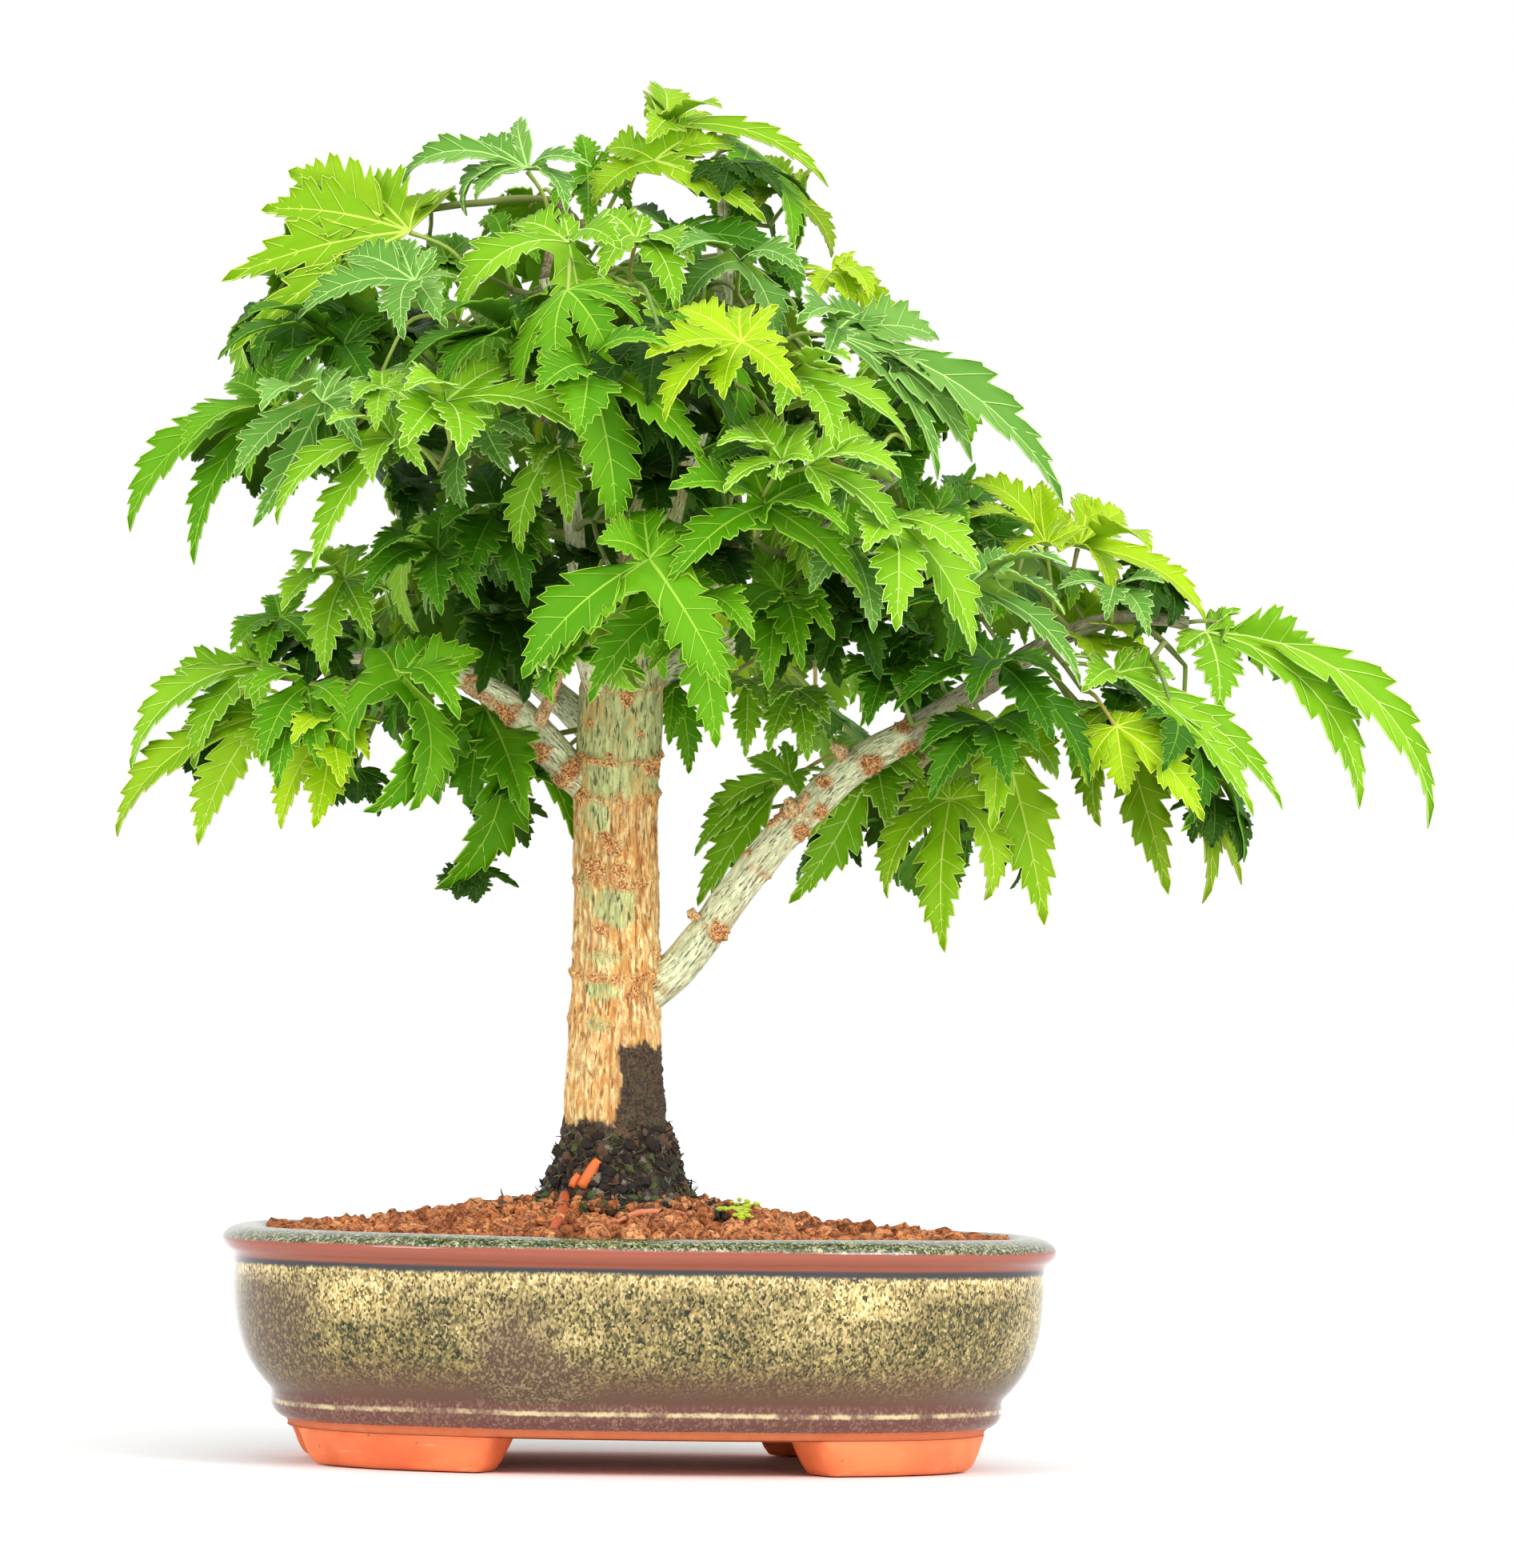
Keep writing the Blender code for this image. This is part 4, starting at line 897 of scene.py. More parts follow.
def make_collar():
    """Dark moss and fine roots heaped round the foot of the trunk."""
    count, rows = 120, 44
    turn = np.arange(count) / count * math.tau
    heights = np.linspace(0, 1, rows)
    rings = []
    for t in heights:
        up = 52.0 + 24.5 * t
        right_side = np.clip(np.cos(turn), 0, 1) * np.clip(-np.sin(turn) + 0.7, 0, 1)
        up = up + 3.0 * t * right_side
        reach = collar_reach(52.0 + 24.5 * t)
        rings.append(np.stack([-5.4 + np.cos(turn) * reach, np.sin(turn) * reach, up + np.zeros(count)], 1))
    points = np.concatenate(rings)
    outward = points - np.array([-5.4, 0, 0])
    outward[:, 2] = 4.0
    outward /= np.linalg.norm(outward, axis=1, keepdims=True)
    rough = 1.5 * noise_at(points, 0.16, 2.0) + 0.9 * noise_at(points, 0.5, 5.0) + 0.5 * noise_at(points, 1.4, 8.0)
    t = np.repeat(heights, count)
    points = points + outward * (rough * (1 - 0.55 * t) - 1.6 * step(t, 0.9, 1.0))[:, None]
    mat = new_material("moss", rough=0.95)
    g = Graph(mat)
    even = g.coords()
    mottled = g.noise(even, 520.0, 4.0, 0.65)
    colour = g.ramp(mottled, [(0.30, (0.008, 0.006, 0.004)), (0.47, (0.035, 0.026, 0.017)), (0.60, (0.10, 0.075, 0.05)), (0.74, (0.16, 0.14, 0.09))])
    colour = g.mix(g.ramp(g.noise(even, 170.0, 3.0), [(0.55, 0.0), (0.68, 0.7)]), colour, (0.055, 0.075, 0.018))
    g.colour(colour)
    g.bump(g.noise(even, 1500.0, 4.0, 0.7), 0.8, 0.0010)
    low = len(points)
    closing = np.stack([(np.arange(count) + 1) % count, np.arange(count), np.full(count, low)], 1)
    top = (rows - 1) * count
    closing_top = np.stack([top + np.arange(count), top + (np.arange(count) + 1) % count, np.full(count, low + 1)], 1)
    points = np.concatenate([points, [[-5.4, 0, 52.0], [-6.2, 0, 75.0]]])
    base = mesh_piece("moss_base", row(points), [grid_faces(rows, count), closing, closing_top], [mat])
    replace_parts(base, "moss_collar")

    # fibres: short curled roots and moss threads lying over the heap and its skirt
    tints = [new_material("root_dark", (0.022, 0.015, 0.010), 0.9), new_material("root_brown", (0.11, 0.06, 0.03), 0.85),
             new_material("root_grey", (0.20, 0.17, 0.13), 0.85), new_material("moss_green", (0.07, 0.095, 0.025), 0.9)]
    gather = Gather()
    local = np.random.default_rng(77)
    for _ in range(1500):
        angle = local.uniform(0, math.tau)
        t = local.uniform(0, 1.0) ** 0.9
        out = local.uniform() < 0.24
        if out:
            reach = local.uniform(20, 33)
            x = -5.4 + math.cos(angle) * reach
            y = math.sin(angle) * reach * 0.85
            z = float(soil_height(x, y)) + local.uniform(0.6, 1.8)
            normal = np.array([0, 0, 1.0])
        else:
            reach = collar_reach(52.0 + 24.5 * t) + 0.3
            z = 52.5 + 24.5 * t
            x, y = -5.4 + math.cos(angle) * reach, math.sin(angle) * reach
            normal = np.array([math.cos(angle), math.sin(angle), 0.5])
        here = np.array([x, y, z]) + normal * local.uniform(0.0, 0.5)
        heading = np.cross(normal, local.normal(size=3))
        heading /= np.linalg.norm(heading)
        line = [here]
        bend = local.normal(size=3) * 0.55
        length = local.uniform(0.4, 1.0)
        for _ in range(4):
            heading = heading + bend * 0.6 - normal * 0.12
            heading /= np.linalg.norm(heading)
            line.append(line[-1] + heading * length * 0.9)
        width = local.uniform(0.10, 0.28)
        points, triangles = tube(np.array(line), width * np.array([1, 1, 0.9, 0.7, 0.35]), 4, capped=False)
        pick = local.choice(4, p=[0.42, 0.24, 0.16, 0.18])
        gather.add(points, triangles, np.full(len(triangles), pick))
    gather.piece("moss_fibres", tints, "moss")
    # crumbs of moss and humus on the heap, thinning out over the soil, more of them on the right
    shapes, triangles = lump_shapes(8, 21, 0)
    crumbs = Gather()
    for _ in range(1150):
        angle = local.uniform(0, math.tau)
        t = local.uniform(0, 1.0)
        if local.uniform() < 0.36:
            reach = 20 + abs(local.normal()) * (10.0 if math.cos(angle) > 0.2 else 5.5)
            x, y = -5.4 + math.cos(angle) * reach, math.sin(angle) * reach * 0.85
            here = np.array([x, y, float(soil_height(x, y)) + local.uniform(0.2, 1.6)])
        else:
            reach = collar_reach(52.0 + 24.5 * t) + local.uniform(-0.2, 0.6)
            here = np.array([-5.4 + math.cos(angle) * reach, math.sin(angle) * reach, 52.5 + 24.0 * t])
        size = local.uniform(0.5, 1.7)
        shape = shapes[local.integers(len(shapes))] @ turn_matrix(local.normal(size=3), local.uniform(0, 6.3)).T
        crumbs.add(shape * size + here, triangles, np.full(len(triangles), local.choice(4, p=[0.5, 0.26, 0.08, 0.16])))
    crumbs.piece("moss_crumbs", tints, "moss", smooth=False)

    # orange root stubs, a curled root and a tiny green sprout
    bits = Gather()
    stubs = (
        ([on_ground(u, v, 0.9) for u, v in ((748, 1450), (741, 1461), (733, 1475), (727, 1484))], (1.0, 1.35, 1.4, 1.2), 0),
        ([on_ground(u, v, 0.9) for u, v in ((724, 1468), (719, 1476), (715, 1484))], (0.8, 1.1, 0.9), 0),
        ([on_ground(u, v, 1.3) for u, v in ((706, 1494), (705, 1508), (699, 1522), (690, 1540))], (1.1, 1.5, 1.2, 0.9), 1),
        ([on_ground(u, v, 1.6) for u, v in ((772, 1527), (792, 1518), (815, 1515), (842, 1516), (868, 1521))], (0.4, 0.7, 0.8, 0.7, 0.4), 2),
    )
    for line, radii, pick in stubs:
        dense = smooth_line(np.column_stack([np.array(line), radii]), 0.8)
        points, triangles = tube(dense[:, :3], dense[:, 3], 10)
        points = points + (noise_at(points, 1.2, 3.0) * 0.18)[:, None] * np.array([0.6, -1.0, 0.6])
        bits.add(points, triangles, np.full(len(triangles), pick))
    bits.piece("root_bits", [new_material("root_orange", (0.80, 0.17, 0.03), 0.5), new_material("root_red", (0.55, 0.10, 0.03), 0.6),
                             new_material("root_pink", (0.72, 0.24, 0.11), 0.55)], "moss")
    shapes, triangles = lump_shapes(6, 23, 0)
    sprout = Gather()
    for _ in range(46):
        u, v = 925 + local.normal() * 11, 1514 + local.normal() * 7
        size = local.uniform(0.45, 0.95)
        shape = shapes[local.integers(len(shapes))] @ turn_matrix(local.normal(size=3), local.uniform(0, 6.3)).T
        sprout.add(shape * size * [1.2, 0.6, 0.8] + on_ground(u, v, 1.6) + [0, 0, local.uniform(0, 0.8)], triangles)
    sprout.piece("moss_sprout", [new_material("sprout", (0.50, 0.62, 0.03), 0.6)], "moss", smooth=False)


# ---- leaves ------------------------------------------------------------------
SINUS = 0.27                # how far out neighbouring lobes stay joined, as a share of the shorter one
BLADE = 0.32                # thickness in mm, more than life so that the pale margin shows
BEND_POWER = 1.35           # a lobe bends more and more towards its tip
NODES, WEIGHTS = np.polynomial.legendre.leggauss(6)
NODES, WEIGHTS = (NODES + 1) / 2, WEIGHTS / 2
# the big teeth along one side of a lobe: (how far out, half width), as shares of the lobe's length
BIG_TEETH = {
    6: ((0.430, 0.172), (0.580, 0.172), (0.705, 0.136), (0.800, 0.096), (0.878, 0.060), (0.942, 0.031)),
    5: ((0.440, 0.176), (0.615, 0.160), (0.750, 0.110), (0.855, 0.065), (0.935, 0.033)),
    3: ((0.540, 0.200), (0.735, 0.135), (0.885, 0.062)),
}


def unit(v):
    v = np.asarray(v, float)
    return v / max(np.linalg.norm(v), 1e-9)


def bend_reach(share, amount):
    """How far out and how far down an arc of unit length has got at `share` of its length."""
    share = np.clip(share, 0, 1.1)
    psi = amount * (share[..., None] * NODES) ** BEND_POWER
    return share * (np.cos(psi) * WEIGHTS).sum(-1), share * (np.sin(psi) * WEIGHTS).sum(-1)


def lobe_list(count):
    """(angle, length, big teeth) of a leaf with this many main lobes and a small basal pair."""
    step_angle = 48.0 if count == 3 else 41.0 if count < 7 else 38.0
    out = []
    for k in range(count):
        angle = (k - (count - 1) / 2) * step_angle
        length = 1.0 - 0.30 * (abs(angle) / 95.0) ** 1.9
        out.append((angle, length, 6 if length > 0.85 else 5))
    if count < 7:
        end = out[-1][0] + 41.0
        out = [(-end, 0.40, 3)] + out + [(end, 0.40, 3)]
    return out


class LeafPattern:
    """A flat leaf of unit length: points, triangles, rim, and the paths of its veins."""

    def __init__(self, count, seed):
        local = np.random.default_rng(seed)
        lobes = lobe_list(count)
        angles = [a + local.normal() * 2.0 for a, _, _ in lobes]
        lengths = [l * (1 + local.normal() * 0.03) for _, l, _ in lobes]
        self.points, index = [], {}

        def point(x, y, lobe, mate, across, bulge=0.0):
            key = (round(x, 5), round(y, 5))
            if key not in index:
                index[key] = len(self.points)
                self.points.append((x, y, lobe, mate, across, bulge))
            return index[key]

        last = len(lobes) - 1
        joints = {}
        for k in range(last):
            half = math.radians((angles[k + 1] - angles[k]) / 2)
            middle = math.radians((angles[k + 1] + angles[k]) / 2)
            shorter = min(lengths[k], lengths[k + 1])
            reach = (SINUS + local.normal() * 0.025) * (shorter if shorter > 0.5 else 0.55)
            joints[(k, 1)] = (half, middle, reach, k + 1)
            joints[(k + 1, -1)] = (half, middle, reach, k)
        joints[(0, -1)] = (math.radians(30), math.radians(angles[0] - 30), 0.30 * lengths[0], 0)
        joints[(last, 1)] = (math.radians(30), math.radians(angles[last] + 30), 0.30 * lengths[last], last)

        triangles, halves, self.ribs, self.side_veins = [], [], [], []
        for lobe, (_, _, teeth) in enumerate(lobes):
            length = lengths[lobe]
            angle = math.radians(angles[lobe])
            axis = np.array([math.sin(angle), math.cos(angle)])
            aside = np.array([axis[1], -axis[0]])
            table = BIG_TEETH[teeth]
            large = len(table) - 3
            outlines = {}
            for side in (1, -1):
                half, direction, sinus, mate = joints[(lobe, side)]
                before = (sinus * math.cos(half), sinus * math.sin(half))
                shift = side * 0.020 + local.normal() * 0.012
                parts = []
                for k, (reach, wide) in enumerate(table):
                    along = length * (reach + shift * min(1.0, 3 * (1 - reach)) + local.normal() * 0.008)
                    wide = wide * length * local.uniform(0.92, 1.10)
                    if k == 0:
                        wide = min(wide, along * math.tan(half) * 1.10)
                    go, rise = along - before[0], wide - before[1]
                    edge = [before]
                    if k == 0:
                        for share in (0.45, 0.78):
                            x = before[0] + go * share
                            edge.append((x, min(before[1] + rise * share ** 0.6, x * math.tan(half) * 0.95)))
                    else:
                        edge.append((before[0] + go * 0.34, before[1] + rise * 0.66))
                        if k < large:
                            edge.append((before[0] + go * 0.62, before[1] + rise * 0.98 + 0.006 * length))
                            edge.append((before[0] + go * 0.69, before[1] + rise * 0.84))
                    edge.append((along, wide))
                    cut = local.uniform(0.50, 0.64) if k < large else local.uniform(0.56, 0.70)
                    after = (along - 0.012 * length, wide * cut) if k < len(table) - 1 else (length, 0.0)
                    edge.append(after)
                    parts.append(edge)
                    before = after
                outlines[side] = parts
            stop = min(outlines[s][0][0][0] for s in (1, -1))
            mids = [point(0.0, 0.0, lobe, lobe, 0.0), point(*(axis * stop * 0.55), lobe, lobe, 0.0), point(*(axis * stop * 0.98), lobe, lobe, 0.0)]
            stations = [(0.0, None), (stop * 0.55, None), (stop * 0.98, None)]
            plan = []                        # for each tooth: the numbers of its first, middle and last station
            for k in range(len(table)):
                first = len(mids) - 1
                starts = sum(outlines[s][k][0][0] for s in (1, -1)) / 2
                ends = sum(outlines[s][k][-1][0] for s in (1, -1)) / 2
                middle = first
                if k < large:
                    mids.append(point(*(axis * (starts * 0.52 + ends * 0.48)), lobe, lobe, 0.0))
                    middle = len(mids) - 1
                mids.append(point(*(axis * (ends if k < len(table) - 1 else length)), lobe, lobe, 0.0))
                plan.append((first, middle, len(mids) - 1))
            self.ribs.append((lobe, mids))
            for side in (1, -1):
                half, direction, sinus, mate = joints[(lobe, side)]
                way = np.array([math.sin(direction), math.cos(direction)])

                def place(along, across, bulge=0.0):
                    return point(*(axis * along + aside * side * across), lobe, mate, side * across, bulge)

                def face(a, b, c):
                    if len({a, b, c}) == 3:
                        triangles.append((a, b, c) if side > 0 else (a, c, b))
                        halves.append(lobe * 2 + (side > 0))

                near = point(*(way * sinus * 0.55), lobe, mate, side * sinus * 0.55 * math.sin(half))
                cusp = point(*(way * sinus), lobe, mate, side * sinus * math.sin(half))
                inner = [mids[0]]
                for mid, edge in ((mids[1], near), (mids[2], cusp)):
                    a, b = self.points[mid], self.points[edge]
                    inner.append(point((a[0] + b[0]) / 2, (a[1] + b[1]) / 2, lobe, mate, b[4] / 2, 0.4))
                for k, edge in ((0, mids[0]), (1, near)):
                    beyond = (near, cusp)[k]
                    face(mids[k], inner[k + 1], mids[k + 1])
                    face(mids[k], inner[k], inner[k + 1])
                    face(inner[k], beyond, inner[k + 1])
                    face(inner[k], edge, beyond)
                here = inner[2]
                for k, (first, middle, final) in enumerate(plan):
                    edge = outlines[side][k]
                    rim = [cusp] if k == 0 else [place(*edge[0])]
                    rim += [place(*p) for p in edge[1:-1]]
                    rim.append(mids[-1] if k == len(plan) - 1 else place(*edge[-1]))
                    self.side_veins.append((mids[first], rim[-2], lobe))
                    fan = here
                    if middle != first:
                        x = np.hypot(*np.array(self.points[mids[middle]][:2]))
                        wide = edge[0][1] + (edge[-2][1] - edge[0][1]) * 0.55
                        fan = place(min(x, edge[-2][0] - 0.02 * length), wide * 0.52, -0.5)
                        face(mids[first], fan, mids[middle])
                        face(mids[first], here, fan)
                        face(here, rim[0], rim[1])
                        face(here, rim[1], fan)
                        todo = rim[1:]
                    else:
                        todo = rim
                    for a, b in zip(todo[:-1], todo[1:]):
                        face(fan, a, b)
                    if k < len(plan) - 1:
                        x = np.hypot(*np.array(self.points[mids[final]][:2]))
                        after = place(min(x, edge[-1][0]), edge[-1][1] * 0.5, 0.9)
                    else:
                        after = mids[-1]
                    face(fan, rim[-1], after)
                    face(mids[middle], after, mids[final])
                    face(mids[middle], fan, after)
                    here = after
        self.points = np.array(self.points)
        self.triangles = np.array(triangles)
        self.halves = np.array(halves)
        angles = np.radians(angles)
        self.axis = np.stack([np.sin(angles), np.cos(angles)], 1)
        self.aside = np.stack([np.cos(angles), -np.sin(angles)], 1)
        self.angles, self.lengths = angles, np.array(lengths)
        edges = set()
        for a, b, c in triangles:
            edges.update(((a, b), (b, c), (c, a)))
        rim = {a: b for a, b in edges if (b, a) not in edges}
        self.rim = np.array(sorted(rim.items()))
        loop = [int(self.rim[0, 0])]
        while rim[loop[-1]] != loop[0]:
            loop.append(rim[loop[-1]])
        self.loop = np.array(loop)
        # the direction in which the margin's narrow border lies inside the rim
        ring = self.points[self.loop, :2]
        ahead, behind = np.roll(ring, -1, 0) - ring, ring - np.roll(ring, 1, 0)
        ahead /= np.linalg.norm(ahead, axis=1, keepdims=True)
        behind /= np.linalg.norm(behind, axis=1, keepdims=True)
        inward = np.stack([-(ahead + behind)[:, 1], (ahead + behind)[:, 0]], 1)
        area = np.sum(ring[:, 0] * np.roll(ring[:, 1], -1) - np.roll(ring[:, 0], -1) * ring[:, 1])
        self.inward = inward / np.maximum(np.linalg.norm(inward, axis=1, keepdims=True), 0.6) * np.sign(area)
        # how much a point follows its own lobe, and not the next one, near the sinus
        lobe, mate = self.points[:, 2].astype(int), self.points[:, 3].astype(int)
        self.own = self.share_of_own(self.points[:, :2], lobe, mate)

    def share_of_own(self, xy, lobe, mate):
        turn = np.arctan2(xy[:, 0], xy[:, 1])
        a, b = self.angles[lobe], self.angles[mate]
        middle = (a + b) / 2
        half = np.maximum(np.abs(b - a) / 2, 1e-6)
        offset = np.abs(turn - middle) / half
        offset = np.where(np.sign(turn - middle) == np.sign(a - middle), offset, 0.0)
        beyond = np.clip(np.hypot(xy[:, 0], xy[:, 1]) - SINUS * 0.95, 0, None) / 0.10
        t = np.clip(offset * 1.1 + beyond, 0, 1)
        own = 0.5 + 0.5 * t * t * (3 - 2 * t)
        return np.where(lobe == mate, 1.0, own)


PATTERNS = {count: [LeafPattern(count, 10 * count + k) for k in range(4)] for count in (3, 4, 5, 6, 7)}


class Lobe:
    """The arc of one lobe: where it sets out, its normal there, its length and how much it bends."""

    def __init__(self, ahead, normal, length, bend, twist=0.0):
        self.ahead = unit(ahead)
        self.normal = unit(np.asarray(normal) - self.ahead * np.dot(normal, self.ahead))
        self.aside = np.cross(self.ahead, self.normal)
        self.length, self.bend, self.twist = length, bend, twist

    def tip(self, centre):
        out, down = bend_reach(np.array(1.0), self.bend)
        return centre + self.ahead * out * self.length - self.normal * down * self.length


def lobe_to(centre, tip, hint, bend, twist=0.0):
    """The lobe that arcs from the leaf's centre to a given tip, bulging towards the hint."""
    chord = np.asarray(tip, float) - centre
    far = max(np.linalg.norm(chord), 1e-6)
    chord = chord / far
    out, down = bend_reach(np.array(1.0), bend)
    swing = math.atan2(down, out)
    normal = unit(hint - chord * np.dot(hint, chord))
    ahead = chord * math.cos(swing) + normal * math.sin(swing)
    return Lobe(ahead, normal * math.cos(swing) - chord * math.sin(swing), far / math.hypot(out, down), bend, twist)


class Foliage:
    """All the leaves, their veins and stalks, gathered by kind."""

    def __init__(self):
        self.blades, self.veins, self.stalks = [Gather()], [Gather()], Gather()
        self.leaves = []

    def add(self, centre, lobes, size, tint, seed, count, fold=0.34, stalk=None, border=True):
        pattern = PATTERNS[count][seed % len(PATTERNS[count])]
        local = np.random.default_rng(seed)
        ahead = np.array([l.ahead for l in lobes])
        normal = np.array([l.normal for l in lobes])
        aside = np.array([l.aside for l in lobes])
        length = np.array([l.length for l in lobes])
        bend = np.array([l.bend for l in lobes])
        twist = np.array([l.twist for l in lobes])
        phase = local.uniform(0, math.tau, len(lobes))
        wave = local.uniform(0.004, 0.012)
        pace = local.uniform(14, 20)

        def on_lobe(xy, lobe, height):
            along = (xy * pattern.axis[lobe]).sum(1)
            across = (xy * pattern.aside[lobe]).sum(1)
            share = np.clip(along / pattern.lengths[lobe], 0, 1.08)
            out, down = bend_reach(share, bend[lobe][:, None])
            psi = (bend[lobe] * share ** BEND_POWER)[:, None]
            up = normal[lobe] * np.cos(psi) + ahead[lobe] * np.sin(psi)
            turn = (twist[lobe] * share ** 1.5)[:, None]
            side = aside[lobe] * np.cos(turn) + up * np.sin(turn)
            up = up * np.cos(turn) - aside[lobe] * np.sin(turn)
            angle = fold * (0.35 + 0.75 * share)
            ruffle = wave * np.sin(pace * along + phase[lobe] + np.sign(across)) * np.clip(np.abs(across) / 0.11, 0, 1.2) * np.clip((share - 0.25) / 0.2, 0, 1)
            lift = (np.abs(across) * np.sin(angle) + ruffle) * size + height
            spread = across * np.cos(angle) * size
            return (
                centre + ahead[lobe] * (out * length[lobe])[:, None] - normal[lobe] * (down * length[lobe])[:, None]
                + side * spread[:, None] + up * lift[:, None]
            )

        def place(xy, lobe, mate, own, height):
            height = np.broadcast_to(height, (len(xy),))
            near = on_lobe(xy, lobe, height)
            far = on_lobe(xy, mate, height)
            return near * own[:, None] + far * (1 - own[:, None])

        flat = pattern.points
        xy, lobe, mate = flat[:, :2], flat[:, 2].astype(int), flat[:, 3].astype(int)
        bulge = flat[:, 5] * 0.22 * size / 36.0
        top = place(xy, lobe, mate, pattern.own, bulge)
        under = place(xy, lobe, mate, pattern.own, bulge - BLADE)
        n = len(top)
        a, b = pattern.rim[:, 0], pattern.rim[:, 1]
        walls = np.concatenate([np.stack([a, a + n, b + n], 1), np.stack([a, b + n, b], 1)])
        triangles = np.concatenate([pattern.triangles, pattern.triangles[:, ::-1] + n, walls])
        base = TINT_NAMES.index(tint) * 4
        # each half of a lobe gets the plain tone or its lighter copy, picked at random: a painted highlight standing
        # for the lit half of a fold
        lit_halves = (local.uniform(size=2 * len(lobes)) < 0.34).astype(int)
        kinds = np.concatenate([base + lit_halves[pattern.halves], np.full(len(pattern.triangles), base + 2), np.full(len(walls), base + 3)])
        if self.blades[-1].total() + len(triangles) > 190000:
            self.blades.append(Gather())
        self.blades[-1].add(np.concatenate([top, under]), triangles, kinds)

        rows, faces, heights, own_lobe, count_rows = [], [], [], [], 0

        def ribbon(path, widths, height, ridge, lobe_number):
            nonlocal count_rows
            path = np.asarray(path)
            d = np.gradient(path, axis=0)
            side = np.stack([-d[:, 1], d[:, 0]], 1)
            side /= np.maximum(np.linalg.norm(side, axis=1, keepdims=True), 1e-9)
            columns = (-1, 0, 1) if ridge else (-1, 1)
            m = len(columns)
            for p, s, w in zip(path, side, widths):
                for c in columns:
                    rows.append(p + s * c * w / size)
                    heights.append(height + (0.20 if ridge and c == 0 else 0.0))
                    own_lobe.append(lobe_number)
            for k in range(len(path) - 1):
                for c in range(m - 1):
                    i = count_rows + k * m + c
                    faces.append((i, i + m, i + 1))
                    faces.append((i + 1, i + m, i + m + 1))
            count_rows += m * len(path)

        strength = (size / 36.0) ** 0.5
        for lobe_number, mids in pattern.ribs:
            path = xy[mids[:-1]]
            widths = np.interp(np.linspace(0, 1, len(path)), [0, 0.2, 1], [0.36, 0.27, 0.10]) * strength
            ribbon(path, widths, 0.06, True, lobe_number)
        for i, k, lobe_number in pattern.side_veins:
            start, end = xy[i], xy[k]
            path = [start, start * 0.5 + end * 0.5, start * 0.12 + end * 0.88]
            ribbon(path, np.array([0.10, 0.08, 0.04]) * strength, 0.10, False, lobe_number)
        rows, own_lobe = np.array(rows), np.array(own_lobe)
        turn = np.arctan2(rows[:, 0], rows[:, 1])
        gap = turn - pattern.angles[own_lobe]
        near = np.clip(own_lobe + np.where(gap > 0, 1, -1), 0, len(lobes) - 1)
        share = pattern.share_of_own(rows, own_lobe, near)
        shaped = place(rows, own_lobe, near, share, np.array(heights))
        faces = np.array(faces)
        if border:
            # the pale border of the blade, a narrow strip just inside its rim
            loop = pattern.loop
            inset = xy[loop] + pattern.inward * (0.20 * strength / size)
            outer = place(xy[loop], lobe[loop], mate[loop], pattern.own[loop], bulge[loop] + 0.05)
            inner = place(inset, lobe[loop], mate[loop], pattern.own[loop], bulge[loop] + 0.07)
            m = len(loop)
            j, k = np.arange(m) + len(shaped), (np.arange(m) + 1) % m + len(shaped)
            strip = np.concatenate([np.stack([j, k, k + m], 1), np.stack([j, k + m, j + m], 1)])
            shaped = np.concatenate([shaped, outer, inner])
            faces = np.concatenate([faces, strip])
        if self.veins[-1].total() + len(faces) > 190000:
            self.veins.append(Gather())
        self.veins[-1].add(shaped, faces, np.full(len(faces), TINT_NAMES.index(tint)))
        self.leaves.append((np.asarray(centre, float), lobes, size, tint, stalk))


# tint: top, its lighter copy (a painted highlight for a fold's lit half), underside, margin and vein colours
TINTS = {
    "deep": ((0.032, 0.135, 0.002), (0.050, 0.175, 0.003), (0.075, 0.200, 0.008), (0.17, 0.38, 0.03), (0.15, 0.33, 0.03)),
    "mid": ((0.078, 0.265, 0.002), (0.115, 0.330, 0.004), (0.165, 0.345, 0.010), (0.34, 0.62, 0.06), (0.32, 0.56, 0.05)),
    "light": ((0.165, 0.385, 0.006), (0.225, 0.465, 0.013), (0.260, 0.450, 0.022), (0.54, 0.80, 0.20), (0.52, 0.76, 0.16)),
    # lime: the yellow-green of young leaves, partly painted backlight
    "lime": ((0.280, 0.490, 0.003), (0.340, 0.550, 0.006), (0.350, 0.540, 0.012), (0.58, 0.74, 0.07), (0.62, 0.76, 0.08)),
    # a yellow-green tint that paints the glow of leaves lit from behind
    "backlit_green": ((0.190, 0.390, 0.004), (0.250, 0.450, 0.009), (0.260, 0.450, 0.015), (0.46, 0.62, 0.08), (0.52, 0.68, 0.10)),
    # a pale blue-green tint that paints the sky's reflection on leaf tops
    "sky_sheen": ((0.112, 0.285, 0.034), (0.160, 0.350, 0.055), (0.190, 0.345, 0.034), (0.46, 0.72, 0.22), (0.44, 0.68, 0.20)),
    "olive": ((0.140, 0.280, 0.003), (0.180, 0.320, 0.006), (0.200, 0.330, 0.014), (0.34, 0.44, 0.04), (0.42, 0.52, 0.07)),
    "shade": ((0.014, 0.058, 0.001), (0.022, 0.078, 0.002), (0.040, 0.095, 0.005), (0.060, 0.14, 0.016), (0.070, 0.15, 0.02)),
}
TINT_NAMES = list(TINTS)


